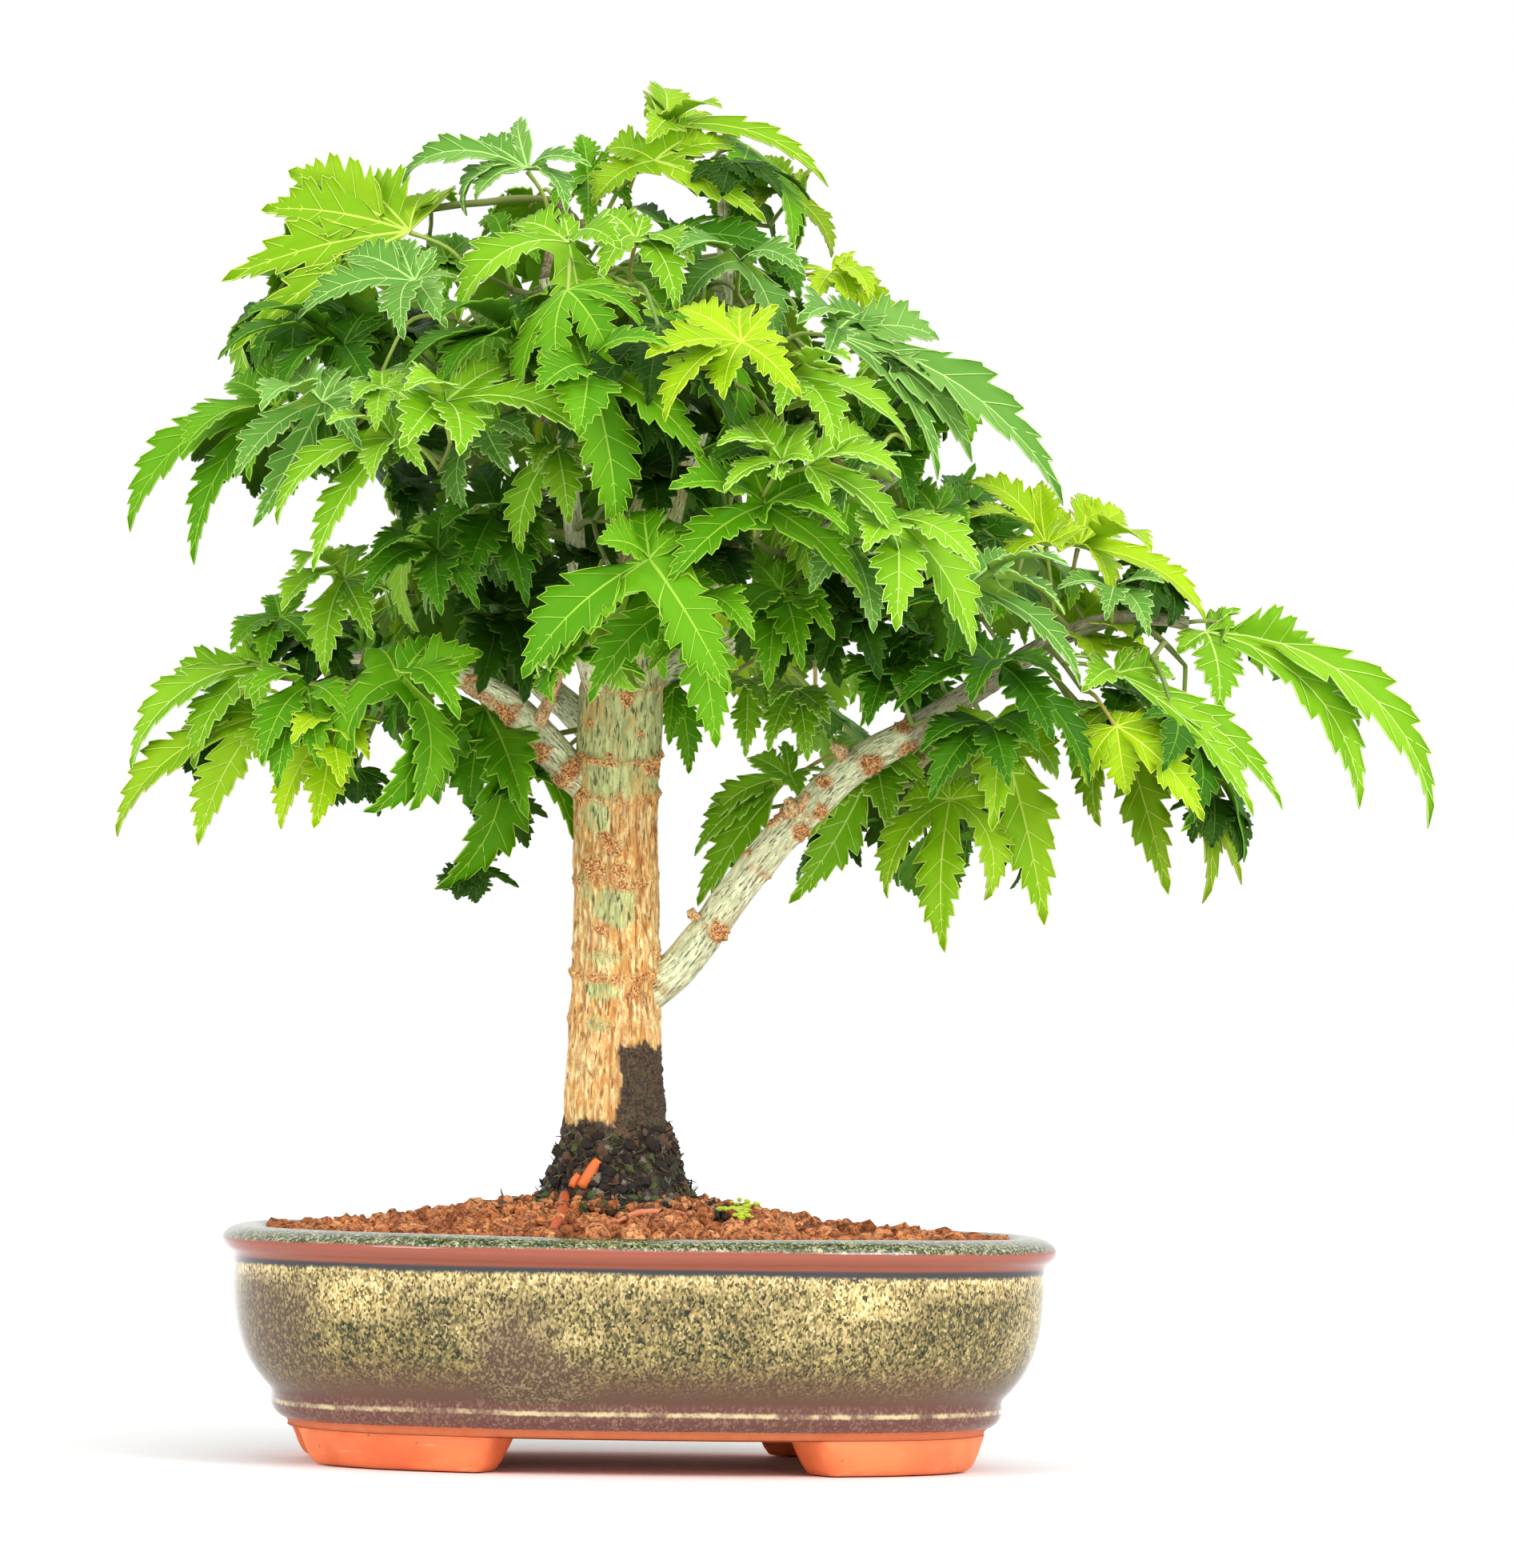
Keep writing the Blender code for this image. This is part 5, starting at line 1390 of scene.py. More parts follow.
# ---- the leaves that the front shows -----------------------------------------
# tint, centre (across, down, depth), size, how far its top turns to the viewer,
# then the tips of its main lobes in order (clockwise where the top shows);
# a third number on a tip is its depth from the centre's, otherwise it is worked out
FRONT_LEAVES = (
    # top
    ("backlit_green", (832, 157, -4), 32, 0.6, ((1036, 233, -4, 940, 168), (808, 180), (806, 146), (824, 111), (903, 134))),
    ("backlit_green", (818, 201, -14), 40, 0.7, ((959, 279, -6, 888, 230), (741, 258, -6, 768, 224), (756, 190, 2), (884, 172, 8), (925, 186, 6))),
    ("sky_sheen", (660, 212, -20), 32, 0.6, ((740, 208), (708, 268, None, 696, 232), (594, 250, -8, 622, 220), (583, 270, -2, 590, 200), (503, 230, 6, 560, 194), (590, 180, 10), (650, 150, 14))),
    ("light", (712, 304, -46), 40, 0.6, ((778, 312), (742, 456), (573, 403, -8, 608, 336), (640, 286, 10))),
    ("light", (795, 299, -40), 34, 0.5, ((868, 331), (847, 393), (750, 352), (750, 270, 10))),
    ("sky_sheen", (925, 326, -44), 34, 0.6, ((1008, 345), (967, 436, -8, 958, 375), (857, 388, -4, 882, 345), (842, 318))),
    ("deep", (838, 295, -18), 32, 0.5, ((986, 318, -6, 912, 296), (866, 338), (770, 268, 14))),
    ("olive", (990, 246, 4), 24, 0.5, ((1012, 215, 8), (1040, 322, -4, 1010, 262), (945, 262), (955, 195, 8))),
    ("lime", (1040, 340, -8), 26, 0.6, ((1080, 342, 2), (1134, 402, -4, 1094, 376), (1090, 380), (1062, 392), (1012, 385))),
    ("backlit_green", (512, 289, -22), 54, 1.0, ((288, 442, -12, 366, 376), (276, 352, -6, 364, 320), (326, 263, 2, 408, 266), (360, 213, 6, 430, 248), (452, 230, 8), (534, 243, 8), (571, 256))),
    ("mid", (558, 326, -6), 26, 0.7, ((592, 306), (590, 352), (556, 376), (526, 352), (538, 298))),
    ("mid", (630, 300, -12), 22, 0.5, ((675, 330), (640, 352), (592, 336), (612, 272, 8))),
    ("mid", (735, 220, -2), 24, 0.4, ((790, 262), (735, 290), (690, 262), (726, 168, 4))),
    # upper front
    ("sky_sheen", (1042, 418, -40), 50, 0.7, ((1030, 455), (996, 405), (1085, 390, 8), (1175, 425, 8), (1330, 632, -6, 1204, 490), (1216, 578, -10, 1170, 502), (1173, 600, -16, 1142, 510))),
    ("light", (985, 470, -70), 34, 0.5, ((1065, 452), (1139, 562), (1045, 565), (972, 520))),
    ("lime", (927, 428, -84), 38, 0.7, ((1003, 497), (905, 500), (831, 528), (806, 448), (842, 390, 10), (930, 388, 12))),
    ("mid", (735, 459, -80), 42, 0.9, ((838, 432), (881, 581), (770, 668), (724, 547), (670, 491), (686, 394))),
    ("deep", (658, 431, -54), 42, 0.6, ((686, 482), (556, 488), (504, 462), (552, 396), (642, 374, 10))),
    ("light", (556, 503, -74), 42, 0.6, ((640, 458, 12), (736, 552), (575, 570), (500, 560), (505, 488))),
    ("sky_sheen", (518, 352, -40), 34, 0.6, ((560, 412), (505, 425), (372, 399, -4, 440, 356), (428, 326, 10), (498, 300, 12))),
    ("deep", (430, 432, -30), 38, 0.5, ((470, 500), (352, 498), (272, 449), (310, 392), (480, 385, 8))),
    # left sweep
    ("sky_sheen", (402, 503, -52), 34, 0.6, ((452, 562), (316, 660, -8, 354, 598), (294, 598), (326, 514), (362, 464, 10), (440, 462, 10))),
    ("mid", (345, 508, -34), 38, 0.6, ((312, 602), (242, 706, -12, 268, 606), (162, 665, -6, 205, 580), (224, 570), (284, 480, 10), (352, 446, 12))),
    ("light", (492, 548, -64), 28, 0.6, ((534, 594), (466, 604), (391, 715, -8, 420, 640), (346, 656, -4, 384, 588), (408, 530), (462, 506, 8))),
    ("light", (478, 486, -62), 22, 0.7, ((520, 520), (470, 540), (440, 505), (478, 466, 6))),
    # middle front
    ("mid", (957, 631, -78), 40, 0.8, ((1081, 746), (833, 734), (836, 611), (925, 572, 10), (1048, 612, 8), (1062, 668))),
    ("light", (978, 578, -86), 32, 0.6, ((905, 614), (896, 557), (938, 522, 10), (1012, 530, 10), (1018, 575))),
    ("light", (1010, 582, -86), 38, 0.6, ((1090, 548), (1127, 598), (1126, 694))),
    ("mid", (812, 698, -90), 46, 0.9, ((866, 668), (911, 866), (686, 837), (653, 849), (746, 678), (808, 641))),
    ("mid", (868, 752, -70), 40, 0.7, ((944, 801), (896, 936), (737, 880), (838, 812))),
    ("light", (1120, 648, -76), 40, 0.7, ((1226, 716), (1216, 820), (1120, 790), (1080, 690))),
    ("sky_sheen", (1062, 683, -62), 28, 0.6, ((1140, 690), (1130, 742), (1092, 792), (1012, 742))),
    ("shade", (1062, 765, -34), 38, 0.9, ((1108, 722), (1150, 792), (1100, 850), (1025, 842), (965, 790), (1004, 722))),
    ("mid", (976, 738, -44), 38, 0.7, ((1044, 800), (1003, 839), (960, 862), (912, 800), (925, 700, 10))),
    ("light", (697, 560, -46), 28, 0.5, ((712, 655), (653, 692), (668, 590))),
    ("deep", (622, 640, -28), 38, 0.8, ((690, 690), (660, 760), (580, 735), (552, 660), (590, 590), (668, 600))),
    ("shade", (615, 772, -4), 44, 0.9, ((700, 700), (712, 800), (655, 880), (598, 868), (566, 770), (636, 690))),
    ("deep", (548, 690, -42), 34, 0.8, ((600, 762), (552, 770), (455, 742), (462, 700), (560, 630, 10))),
    ("shade", (800, 590, -40), 36, 0.8, ((880, 560), (890, 640), (820, 670), (770, 620), (760, 560))),
    ("shade", (900, 540, -46), 34, 0.8, ((960, 500), (962, 570), (905, 610), (850, 560), (860, 500))),
    ("deep", (1100, 545, -34), 34, 0.6, ((1150, 560), (1140, 640), (1060, 600), (1062, 520), (1120, 500))),
    ("mid", (1170, 640, -36), 30, 0.6, ((1212, 655), (1195, 720), (1140, 700), (1130, 620))),
    # low left
    ("light", (430, 724, -24), 34, 0.6, ((466, 800), (406, 847), (352, 764), (372, 716), (446, 686))),
    ("mid", (352, 772, -12), 26, 0.6, ((400, 822), (330, 838), (288, 812), (342, 744, 8))),
    ("light", (335, 832, -22), 38, 0.7, ((330, 905), (243, 962, -14, 276, 880), (164, 967, -6, 207, 886), (206, 866, 2), (284, 828, 2))),
    ("backlit_green", (332, 893, -30), 38, 0.7, ((330, 958, -12), (247, 1057, -14, 283, 966), (146, 1046, 4, 204, 958), (226, 918, 2))),
    ("mid", (385, 858, -40), 34, 0.6, ((440, 905), (400, 962), (347, 988), (327, 958), (312, 870))),
    ("lime", (414, 905, -44), 34, 0.7, ((462, 950), (427, 984), (392, 1036, -10, 408, 965), (351, 1037, -2, 374, 962), (364, 930))),
    ("mid", (500, 849, -50), 46, 0.9, ((545, 800, 8), (605, 816, 2, 552, 828), (575, 900), (512, 1014, -12, 538, 930), (454, 1015, -10, 520, 952), (448, 978, -6, 440, 905), (466, 822))),
    ("shade", (395, 800, -6), 34, 0.7, ((450, 800), (440, 870), (380, 890), (330, 850), (350, 780))),
    ("mid", (606, 884, 10), 54, 0.9, ((717, 1050, -6, 684, 962), (660, 1024), (543, 1112, -10, 622, 1010), (588, 1012, -6, 594, 944), (548, 1006, -4, 562, 936), (516, 950))),
    # right group
    ("lime", (1308, 682, -20), 32, 0.6, ((1258, 712), (1206, 648), (1203, 606, 6, 1262, 622), (1302, 602, 4), (1338, 657, 10))),
    ("lime", (1348, 684, -12), 38, 0.5, ((1352, 618, 8), (1404, 640, 8), (1440, 690), (1509, 779), (1386, 752))),
    ("sky_sheen", (1212, 732, -54), 34, 0.6, ((1262, 690, 8), (1336, 706), (1332, 768), (1351, 858))),
    ("sky_sheen", (1392, 736, -26), 24, 0.6, ((1456, 728), (1437, 797), (1382, 776), (1322, 736))),
    ("lime", (1330, 796, 2), 34, 0.6, ((1392, 742, 8), (1430, 806), (1458, 850), (1370, 850), (1300, 770, 6))),
    ("light", (1508, 790, -8), 50, 0.7, ((1548, 790, 0), (1654, 816, 8, 1600, 806), (1786, 1036, -4, 1707, 872), (1700, 1012, -14, 1652, 884), (1524, 893, -16))),
    ("light", (1395, 842, -24), 34, 0.7, ((1468, 850, 8), (1604, 1012, -2, 1514, 908), (1568, 1021, -12, 1508, 930), (1352, 866))),
    ("olive", (1397, 896, -10), 36, 0.7, ((1502, 928, 6), (1553, 1106, -2, 1502, 1000), (1504, 1130, -14, 1502, 1012), (1461, 1119, -12, 1428, 1000), (1376, 1034, -8, 1366, 965), (1345, 925))),
    ("deep", (1245, 828, -36), 36, 0.6, ((1328, 852), (1362, 985, -6, 1330, 905), (1318, 928), (1214, 880), (1117, 889), (1180, 800))),
    ("deep", (1238, 905, -34), 34, 0.6, ((1300, 940), (1262, 985), (1163, 1003), (1150, 940))),
    ("backlit_green", (1245, 898, -14), 46, 0.8, ((1322, 975, 4), (1306, 1158, -10, 1278, 1020), (1240, 1040), (1200, 960))),
    ("backlit_green", (1188, 1000, -22), 38, 0.8, ((1262, 1006, 6), (1231, 1126, -8, 1240, 1068), (1181, 1191, -14, 1176, 1100), (1109, 1123, -6, 1128, 1050), (1122, 1010, 6))),
    ("mid", (1372, 900, -16), 30, 0.6, ((1404, 950), (1366, 975), (1340, 965), (1334, 900))),
    ("deep", (1110, 842, -24), 32, 0.7, ((1160, 800), (1150, 885), (1085, 908), (1052, 850))),
    ("deep", (1145, 868, 14), 30, 0.8, ((1205, 852), (1196, 905), (1140, 925), (1088, 892), (1112, 838))),
    ("light", (995, 862, -8), 26, 0.6, ((1038, 905), (1010, 953), (960, 940), (962, 882))),
    ("light", (1095, 948, 14), 38, 0.8, ((1160, 985), (1113, 1044), (986, 1130, -6, 1036, 1062), (1010, 1050), (1040, 940))),
    ("light", (988, 972, 20), 34, 0.6, ((1003, 1000), (872, 1133, -6, 926, 1042), (868, 1070, -4, 918, 1012), (885, 1038, 0, 924, 992), (934, 948, 8))),
    ("light", (935, 850, 6), 24, 0.6, ((980, 872), (963, 903), (932, 947), (890, 890))),
    ("mid", (842, 848, 16), 24, 0.6, ((878, 862), (861, 968), (836, 932), (828, 882))),
    ("shade", (1010, 780, -16), 40, 0.7, ((1080, 780), (1050, 860), (975, 850), (940, 790), (990, 720))),
    ("deep", (1155, 795, -8), 30, 0.8, ((1190, 765), (1188, 830), (1150, 850), (1105, 820), (1120, 765))),
    ("deep", (965, 345, -4), 28, 0.8, ((1000, 325), (1000, 375), (965, 395), (925, 370))),
    ("shade", (505, 420, -8), 32, 0.8, ((545, 395), (545, 445), (500, 470), (455, 440), (480, 385))),
    ("deep", (1405, 868, 4), 26, 0.8, ((1440, 850), (1440, 890), (1385, 905), (1365, 860))),
    ("shade", (510, 610, -10), 30, 0.8, ((545, 590), (540, 650), (505, 665), (490, 620), (495, 575))),
    ("deep", (1205, 640, -6), 28, 0.8, ((1240, 610), (1250, 660), (1200, 690), (1165, 640), (1180, 595))),
    ("shade", (735, 690, -2), 30, 0.8, ((770, 660), (770, 710), (735, 740), (700, 710), (705, 650))),
    ("shade", (880, 690, -30), 36, 0.7, ((940, 690), (930, 760), (860, 750), (830, 700), (880, 640))),
)
# where some stalks visibly lead: (leaf centre) to (across, down, depth)
SEEN_STALKS = {
    (832, 157): (776, 274, -6), (818, 201): (756, 272, -10), (660, 212): (692, 292, -16), (990, 246): (962, 283, 2),
    (1042, 418): (972, 432, -34), (978, 578): (952, 624, -78), (402, 503): (464, 488, -46), (1508, 790): (1338, 798, -8),
    (1397, 896): (1341, 883, -10), (500, 849): (440, 853, -44), (988, 972): (1052, 944, 10), (548, 690): (600, 572, -26),
    (795, 299): (788, 397, -34), (976, 738): (906, 714, -38), (1395, 842): (1330, 830, -20), (1188, 1000): (1172, 940, -10),
}


def arc_height(share, bend):
    """How far an arc stands off its unit chord at this share of the chord."""
    out, down = bend_reach(np.linspace(0, 1, 25), bend)
    chord = math.hypot(out[-1], down[-1])
    way = np.array([out[-1], down[-1]]) / chord
    along = (out * way[0] + down * way[1]) / chord
    off = (out * way[1] - down * way[0]) / chord
    return float(np.interp(share, along, off))


def front_leaf(foliage, number, tint, centre, size, facing, tips):
    at = at_pixel(*centre)
    count = len(tips)
    local = np.random.default_rng(500 + number)
    seen = np.array([(t[0] - centre[0], -(t[1] - centre[1])) for t in tips], float)
    turning = sum(np.cross(seen[k], seen[k + 1]) for k in range(count - 1))
    if turning > 0 and facing > 0:
        tips = tips[::-1]
        seen = seen[::-1]
    scale = PIXELS_PER_MM * 1700 / (1700 + centre[2])
    mean = unit([seen[:, 0].mean(), 0.0, seen[:, 1].mean()])
    hint = unit(np.array([0.42 * mean[0], -facing, 1.0 - 0.35 * facing]))
    middle = (count - 1) / 2
    lobes = []
    for k, tip in enumerate(tips):
        bend = 1.15 + local.normal() * 0.18
        away = abs(k - middle) / max(middle, 1)
        expected = size * (1.0 - 0.24 * away ** 2) * 0.88
        flat = math.hypot(*seen[k]) / scale
        if len(tip) > 2 and tip[2] is not None:
            offset = tip[2]
        elif flat < expected:
            offset = min(math.sqrt(expected ** 2 - flat ** 2), 0.85 * expected)
            offset *= -1.0 if seen[k][1] < 0.35 * abs(seen[k][0]) else 0.8
        else:
            offset = 0.0
        end = at_pixel(tip[0], tip[1], float(np.clip(centre[2] + offset, -97.0, 96.0)))
        twist = local.normal() * 0.22
        if len(tip) > 3:
            # bend the arc so that it is seen to pass by the given point
            way = unit(seen[k])
            side = np.array([-way[1], way[0]])
            past = np.array((tip[3] - centre[0], -(tip[4] - centre[1])), float)
            off = float(past @ side) / scale
            share = float(past @ way) / math.hypot(*seen[k])
            far = np.linalg.norm(end - at)
            for bend in np.arange(0.8, 2.5, 0.1):
                stands = far * arc_height(share, bend)
                if stands * 0.72 > abs(off):
                    break
            part = float(np.clip(off / stands, -0.9, 0.9))
            lean = np.array([side[0] * part, -math.sqrt(1 - part * part), side[1] * part])
            lobes.append(lobe_to(at, end, lean, float(bend), twist * 0.5))
        else:
            lobes.append(lobe_to(at, end, hint, bend, twist))
    lobes = with_basal(lobes, size, local) if count < 7 else lobes
    stalk = SEEN_STALKS.get((centre[0], centre[1]))
    foliage.add(at, lobes, size, tint, 500 + number, count, fold=local.uniform(0.28, 0.42), stalk=None if stalk is None else at_pixel(*stalk))


def with_basal(lobes, size, local):
    """Adds the small lobe on each side of the stalk."""
    made = []
    for end, sign in ((lobes[0], -1), (lobes[-1], 1)):
        angle = math.radians(44) * sign
        ahead = end.ahead * math.cos(angle) + end.aside * math.sin(angle)
        made.append(Lobe(ahead, end.normal, min(size * 0.40, 12.5) * local.uniform(0.85, 1.1), 0.6))
    return [made[0]] + list(lobes) + [made[1]]


# where the sky shows through or round the foliage: (across, down, radius) in pixels
OPEN_SKY = (
    (240, 400, 40), (235, 455, 38), (190, 500, 38), (150, 560, 35), (120, 640, 35), (205, 650, 28), (200, 705, 30), (285, 640, 28),
    (285, 690, 35), (300, 750, 45), (240, 780, 45), (180, 790, 45), (350, 700, 35), (430, 665, 24), (460, 630, 18), (215, 985, 28),
    (200, 1040, 25), (300, 1010, 30), (430, 1030, 25), (480, 1060, 35), (482, 948, 18), (520, 1075, 30), (680, 1080, 28), (700, 1130, 30),
    (870, 940, 22), (850, 1010, 22), (905, 1000, 22), (935, 915, 14), (850, 1060, 30), (850, 1130, 25), (960, 1170, 40), (1060, 1120, 28),
    (1090, 1090, 14), (1140, 1180, 30), (1215, 1165, 22), (1270, 1180, 25), (1330, 1080, 30), (1345, 1020, 20), (1415, 1080, 35),
    (1420, 1030, 18), (1490, 1140, 12), (1590, 1080, 30), (1600, 870, 20), (1640, 930, 35), (1650, 960, 40), (1640, 1010, 30),
    (1700, 1060, 30), (1745, 1010, 22), (1745, 1060, 25), (1140, 350, 28), (1185, 385, 22), (1240, 430, 25), (1300, 490, 25),
    (1235, 560, 22), (1270, 590, 16), (1390, 600, 25), (1500, 700, 30), (1560, 740, 22), (1620, 750, 25), (1700, 780, 20),
    (1760, 820, 30), (1810, 900, 35), (820, 245, 18), (845, 242, 22), (545, 232, 18), (655, 228, 14), (575, 285, 18), (520, 332, 12), (785, 150, 12),
    (690, 165, 12), (505, 215, 18), (1240, 540, 20), (1715, 905, 14), (878, 935, 10), (888, 890, 10), (1715, 930, 25), (1735, 980, 28), (1725, 1012, 24), (1500, 1075, 18), (1215, 1105, 13), (1250, 1122, 14), (1140, 1132, 13), (885, 965, 16),
    (908, 955, 14), (872, 900, 10), (962, 895, 12), (938, 958, 14), (880, 1000, 20), (578, 1040, 20), (1130, 380, 30), (1165, 400, 24),
    (240, 470, 30), (200, 490, 30), (165, 545, 30), (150, 850, 25), (175, 825, 22), (230, 800, 25), (1260, 545, 18), (1190, 590, 12),
    (360, 640, 24), (400, 620, 18), (1530, 745, 26), (1600, 735, 26), (960, 870, 10), (860, 862, 8), (1575, 830, 20), (1310, 800, 8), (1480, 810, 16), (1500, 860, 18),
)


def in_sky(place, room):
    """Whether a spot, with some room round it, reaches into open sky."""
    u, v = pixel_of(place)
    return any(math.hypot(u - a, v - b) < radius + room for a, b, radius in OPEN_SKY)


def lobe_clear(lobe, at, size, inside):
    """Whether a lobe keeps inside the masses and out of the open sky."""
    for share in (0.45, 0.65, 0.85, 1.0):
        out, down = bend_reach(np.array(share), lobe.bend)
        place = at + (lobe.ahead * out - lobe.normal * down) * lobe.length
        if in_sky(place, 5.48 * 0.11 * size * min(1.0, 2.4 * (1 - share))):
            return False
        if share > 0.6 and not inside(place):
            return False
    return True


def free_leaf(foliage, at, ahead, normal, size, droop, seed, tint, allowed=None, count=None):
    """A leaf by the growing rule: its lobes fan out from `ahead` and droop; a lobe is shortened where it may not reach."""
    local = np.random.default_rng(seed)
    count = count or int(local.choice((5, 5, 6, 5)))
    ahead = unit(ahead)
    normal = unit(np.asarray(normal) - ahead * np.dot(normal, ahead))
    aside = np.cross(ahead, normal)
    lobes = []
    for angle, share, _ in lobe_list(count):
        if count < 7 and share < 0.43:
            continue
        turn = math.radians(angle + local.normal() * 4)
        start = ahead * math.cos(turn) + aside * math.sin(turn)
        tilt = 0.16 + local.normal() * 0.10
        start = start * math.cos(tilt) - normal * math.sin(tilt)
        bend = max(0.3, droop * (1 + local.normal() * 0.2))
        lobe = Lobe(start, normal, size * share * local.uniform(0.92, 1.08), bend, local.normal() * 0.3)
        if allowed is not None:
            for _ in range(6):
                if lobe_clear(lobe, at, size, allowed):
                    break
                lobe = Lobe(start, normal, lobe.length * 0.84, bend * 1.06, lobe.twist)
            if not lobe_clear(lobe, at, size, lambda place: True):
                return False
        lobes.append(lobe)
    if max(l.length for l in lobes) < size * 0.5:
        return False
    foliage.add(at, with_basal(lobes, size, local), size, tint, seed, count, fold=local.uniform(0.22, 0.40))
    return True


def mass_trees():
    """The CAD's masses of foliage as (name, surface tree, points, faces), in front-frame millimetres."""
    out = []
    for name in sorted(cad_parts):
        if not name.startswith("foliage_"):
            continue
        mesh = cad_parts[name].data
        points = np.empty(len(mesh.vertices) * 3)
        mesh.vertices.foreach_get("co", points)
        place = np.array(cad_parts[name].matrix_world)
        points = points.reshape(-1, 3) @ place[:3, :3].T + place[:3, 3]
        points = front(points)
        faces = [tuple(p.vertices) for p in mesh.polygons]
        out.append((name, BVHTree.FromPolygons([tuple(p) for p in points], faces), points, faces))
    return out


def fill_masses(foliage):
    """Leaves over and inside the masses, thinner where the front leaves already are."""
    masses = mass_trees()
    low, high = front_box()

    corners, sides, first = [], [], 0
    for _, _, points, faces in masses:
        corners += [tuple(p) for p in points]
        sides += [tuple(i + first for i in f) for f in faces]
        first += len(points)
    whole = BVHTree.FromPolygons(corners, sides)
    eye = Vector(CAMERA_AT)

    def allowed(place, slack=3.0):
        if (place < low).any() or (place > high).any():
            return False
        spot = Vector(place)
        if whole.ray_cast(eye, spot - eye)[0] is None:
            return False
        for _, tree, _, _ in masses:
            near, normal, _, gap = tree.find_nearest(spot)
            if near is not None and (gap < slack or (spot - near).dot(normal) < 0):
                return True
        return False

    local = np.random.default_rng(4242)
    keys = np.array([leaf[0] for leaf in foliage.leaves])
    spots = []
    for name, tree, points, faces in masses:
        middle = points.mean(0)
        corners = np.array([[points[f[0]], points[f[1]], points[f[2]]] for f in (g[:3] for g in faces)])
        areas = np.linalg.norm(np.cross(corners[:, 1] - corners[:, 0], corners[:, 2] - corners[:, 0]), axis=1)
        for _ in range(160):
            pick = corners[local.choice(len(corners), p=areas / areas.sum())]
            a, b = local.uniform(size=2)
            if a + b > 1:
                a, b = 1 - a, 1 - b
            spot = pick[0] + (pick[1] - pick[0]) * a + (pick[2] - pick[0]) * b
            normal = unit(np.cross(pick[1] - pick[0], pick[2] - pick[0]))
            if np.dot(normal, spot - middle) < 0:
                normal = -normal
            hit = tree.ray_cast(Vector(spot - normal * 0.5), Vector(-normal))
            thick = hit[3] if hit[0] is not None else 10.0
            inside = min(11.0 if normal[1] > -0.3 else 15.0, thick * 0.45)
            centre = spot - normal * inside
            spots.append((centre, normal, middle, name, spot))
    order = local.permutation(len(spots))
    kept = []
    number = 0
    for index in order:
        centre, normal, middle, name, spot = spots[index]
        if in_sky(centre, 10.0):
            continue
        if normal[2] < -0.55 and local.uniform() < 0.7:
            continue
        faces_front = normal[1] < -0.25
        gap = FILL_GAP * (1.0 if faces_front else 0.92)
        if kept and np.min(np.linalg.norm(np.array(kept) - centre, axis=1)) < gap:
            continue
        if faces_front:
            # count only what stands in front of this spot, as the viewer sees it
            flat = np.hypot(keys[:, 0] - centre[0], keys[:, 2] - centre[2])
            if np.min(flat) < 9.0 or np.min(np.linalg.norm(keys - centre, axis=1)) < 17.0:
                continue
        elif np.min(np.linalg.norm(keys - centre, axis=1)) < 16.0:
            continue
        away = centre - np.array([-3.0, 4.0, 0.0])
        away[2] = 0.0
        outward = unit(unit(away) + 0.7 * np.array([normal[0], normal[1], 0.0]) + local.normal(size=3) * np.array([0.45, 0.45, 0.0]))
        up = unit(np.array([0, 0, 1.0]) * (0.75 + local.normal() * 0.12) + normal * 0.55 + local.normal(size=3) * 0.16)
        ahead = outward * 0.9 - np.array([0, 0, 0.30 + 0.25 * local.uniform()])
        # tint by the way the spot faces, painted light and shade: leaves facing the viewer from inside the crown get
        # dark tints as painted shade, upward ones lighter tints and the sky-sheen tint as painted light and reflection,
        # downward ones mostly darker tints as painted shade
        if faces_front:
            tint = local.choice(("shade", "deep", "mid"), p=(0.62, 0.30, 0.08))
        elif normal[2] > 0.55:
            tint = local.choice(("light", "sky_sheen", "mid", "lime", "deep"), p=(0.26, 0.26, 0.30, 0.10, 0.08))
        elif normal[2] < -0.3:
            tint = local.choice(("shade", "deep", "olive"), p=(0.45, 0.40, 0.15))
        else:
            tint = local.choice(("light", "sky_sheen", "mid", "lime", "deep", "olive"), p=(0.20, 0.18, 0.34, 0.08, 0.14, 0.06))
        size = local.uniform(29, 40) if not faces_front else local.uniform(27, 36)
        if free_leaf(foliage, centre, ahead, up, size, 1.15 + 0.25 * local.normal(), 3000 + number, tint, allowed):
            kept.append(centre)
        number += 1
        if len(kept) >= FILL_COUNT:
            break
    return len(kept)


FILL_GAP, FILL_COUNT = 15.5, 215


def front_box():
    """The CAD's box in the front frame, with the leaves' allowance."""
    low, high = (np.array(c) for c in CAD_BOX)
    return np.array([-119.0, -98.0, 60.0]), np.array([183.0, 106.0, 316.5])


# ---- twigs and stalks --------------------------------------------------------

def limb_starts():
    """Places on the limbs where twigs may set out: (point, radius there)."""
    out = []
    for name, line in [("trunk", TRUNK)] + list(LIMBS.items()):
        dense = smooth_line(line, 4.0)
        for k, p in enumerate(dense):
            if name == "trunk" and p[2] < 188:
                continue
            if name == "bough_right" and p[0] < 66:
                continue
            if name == "bough_left" and p[0] > -38:
                continue
            if name not in ("trunk", "bough_right", "bough_left") and k < 4:
                continue
            out.append(p[:3])
    return np.array(out)


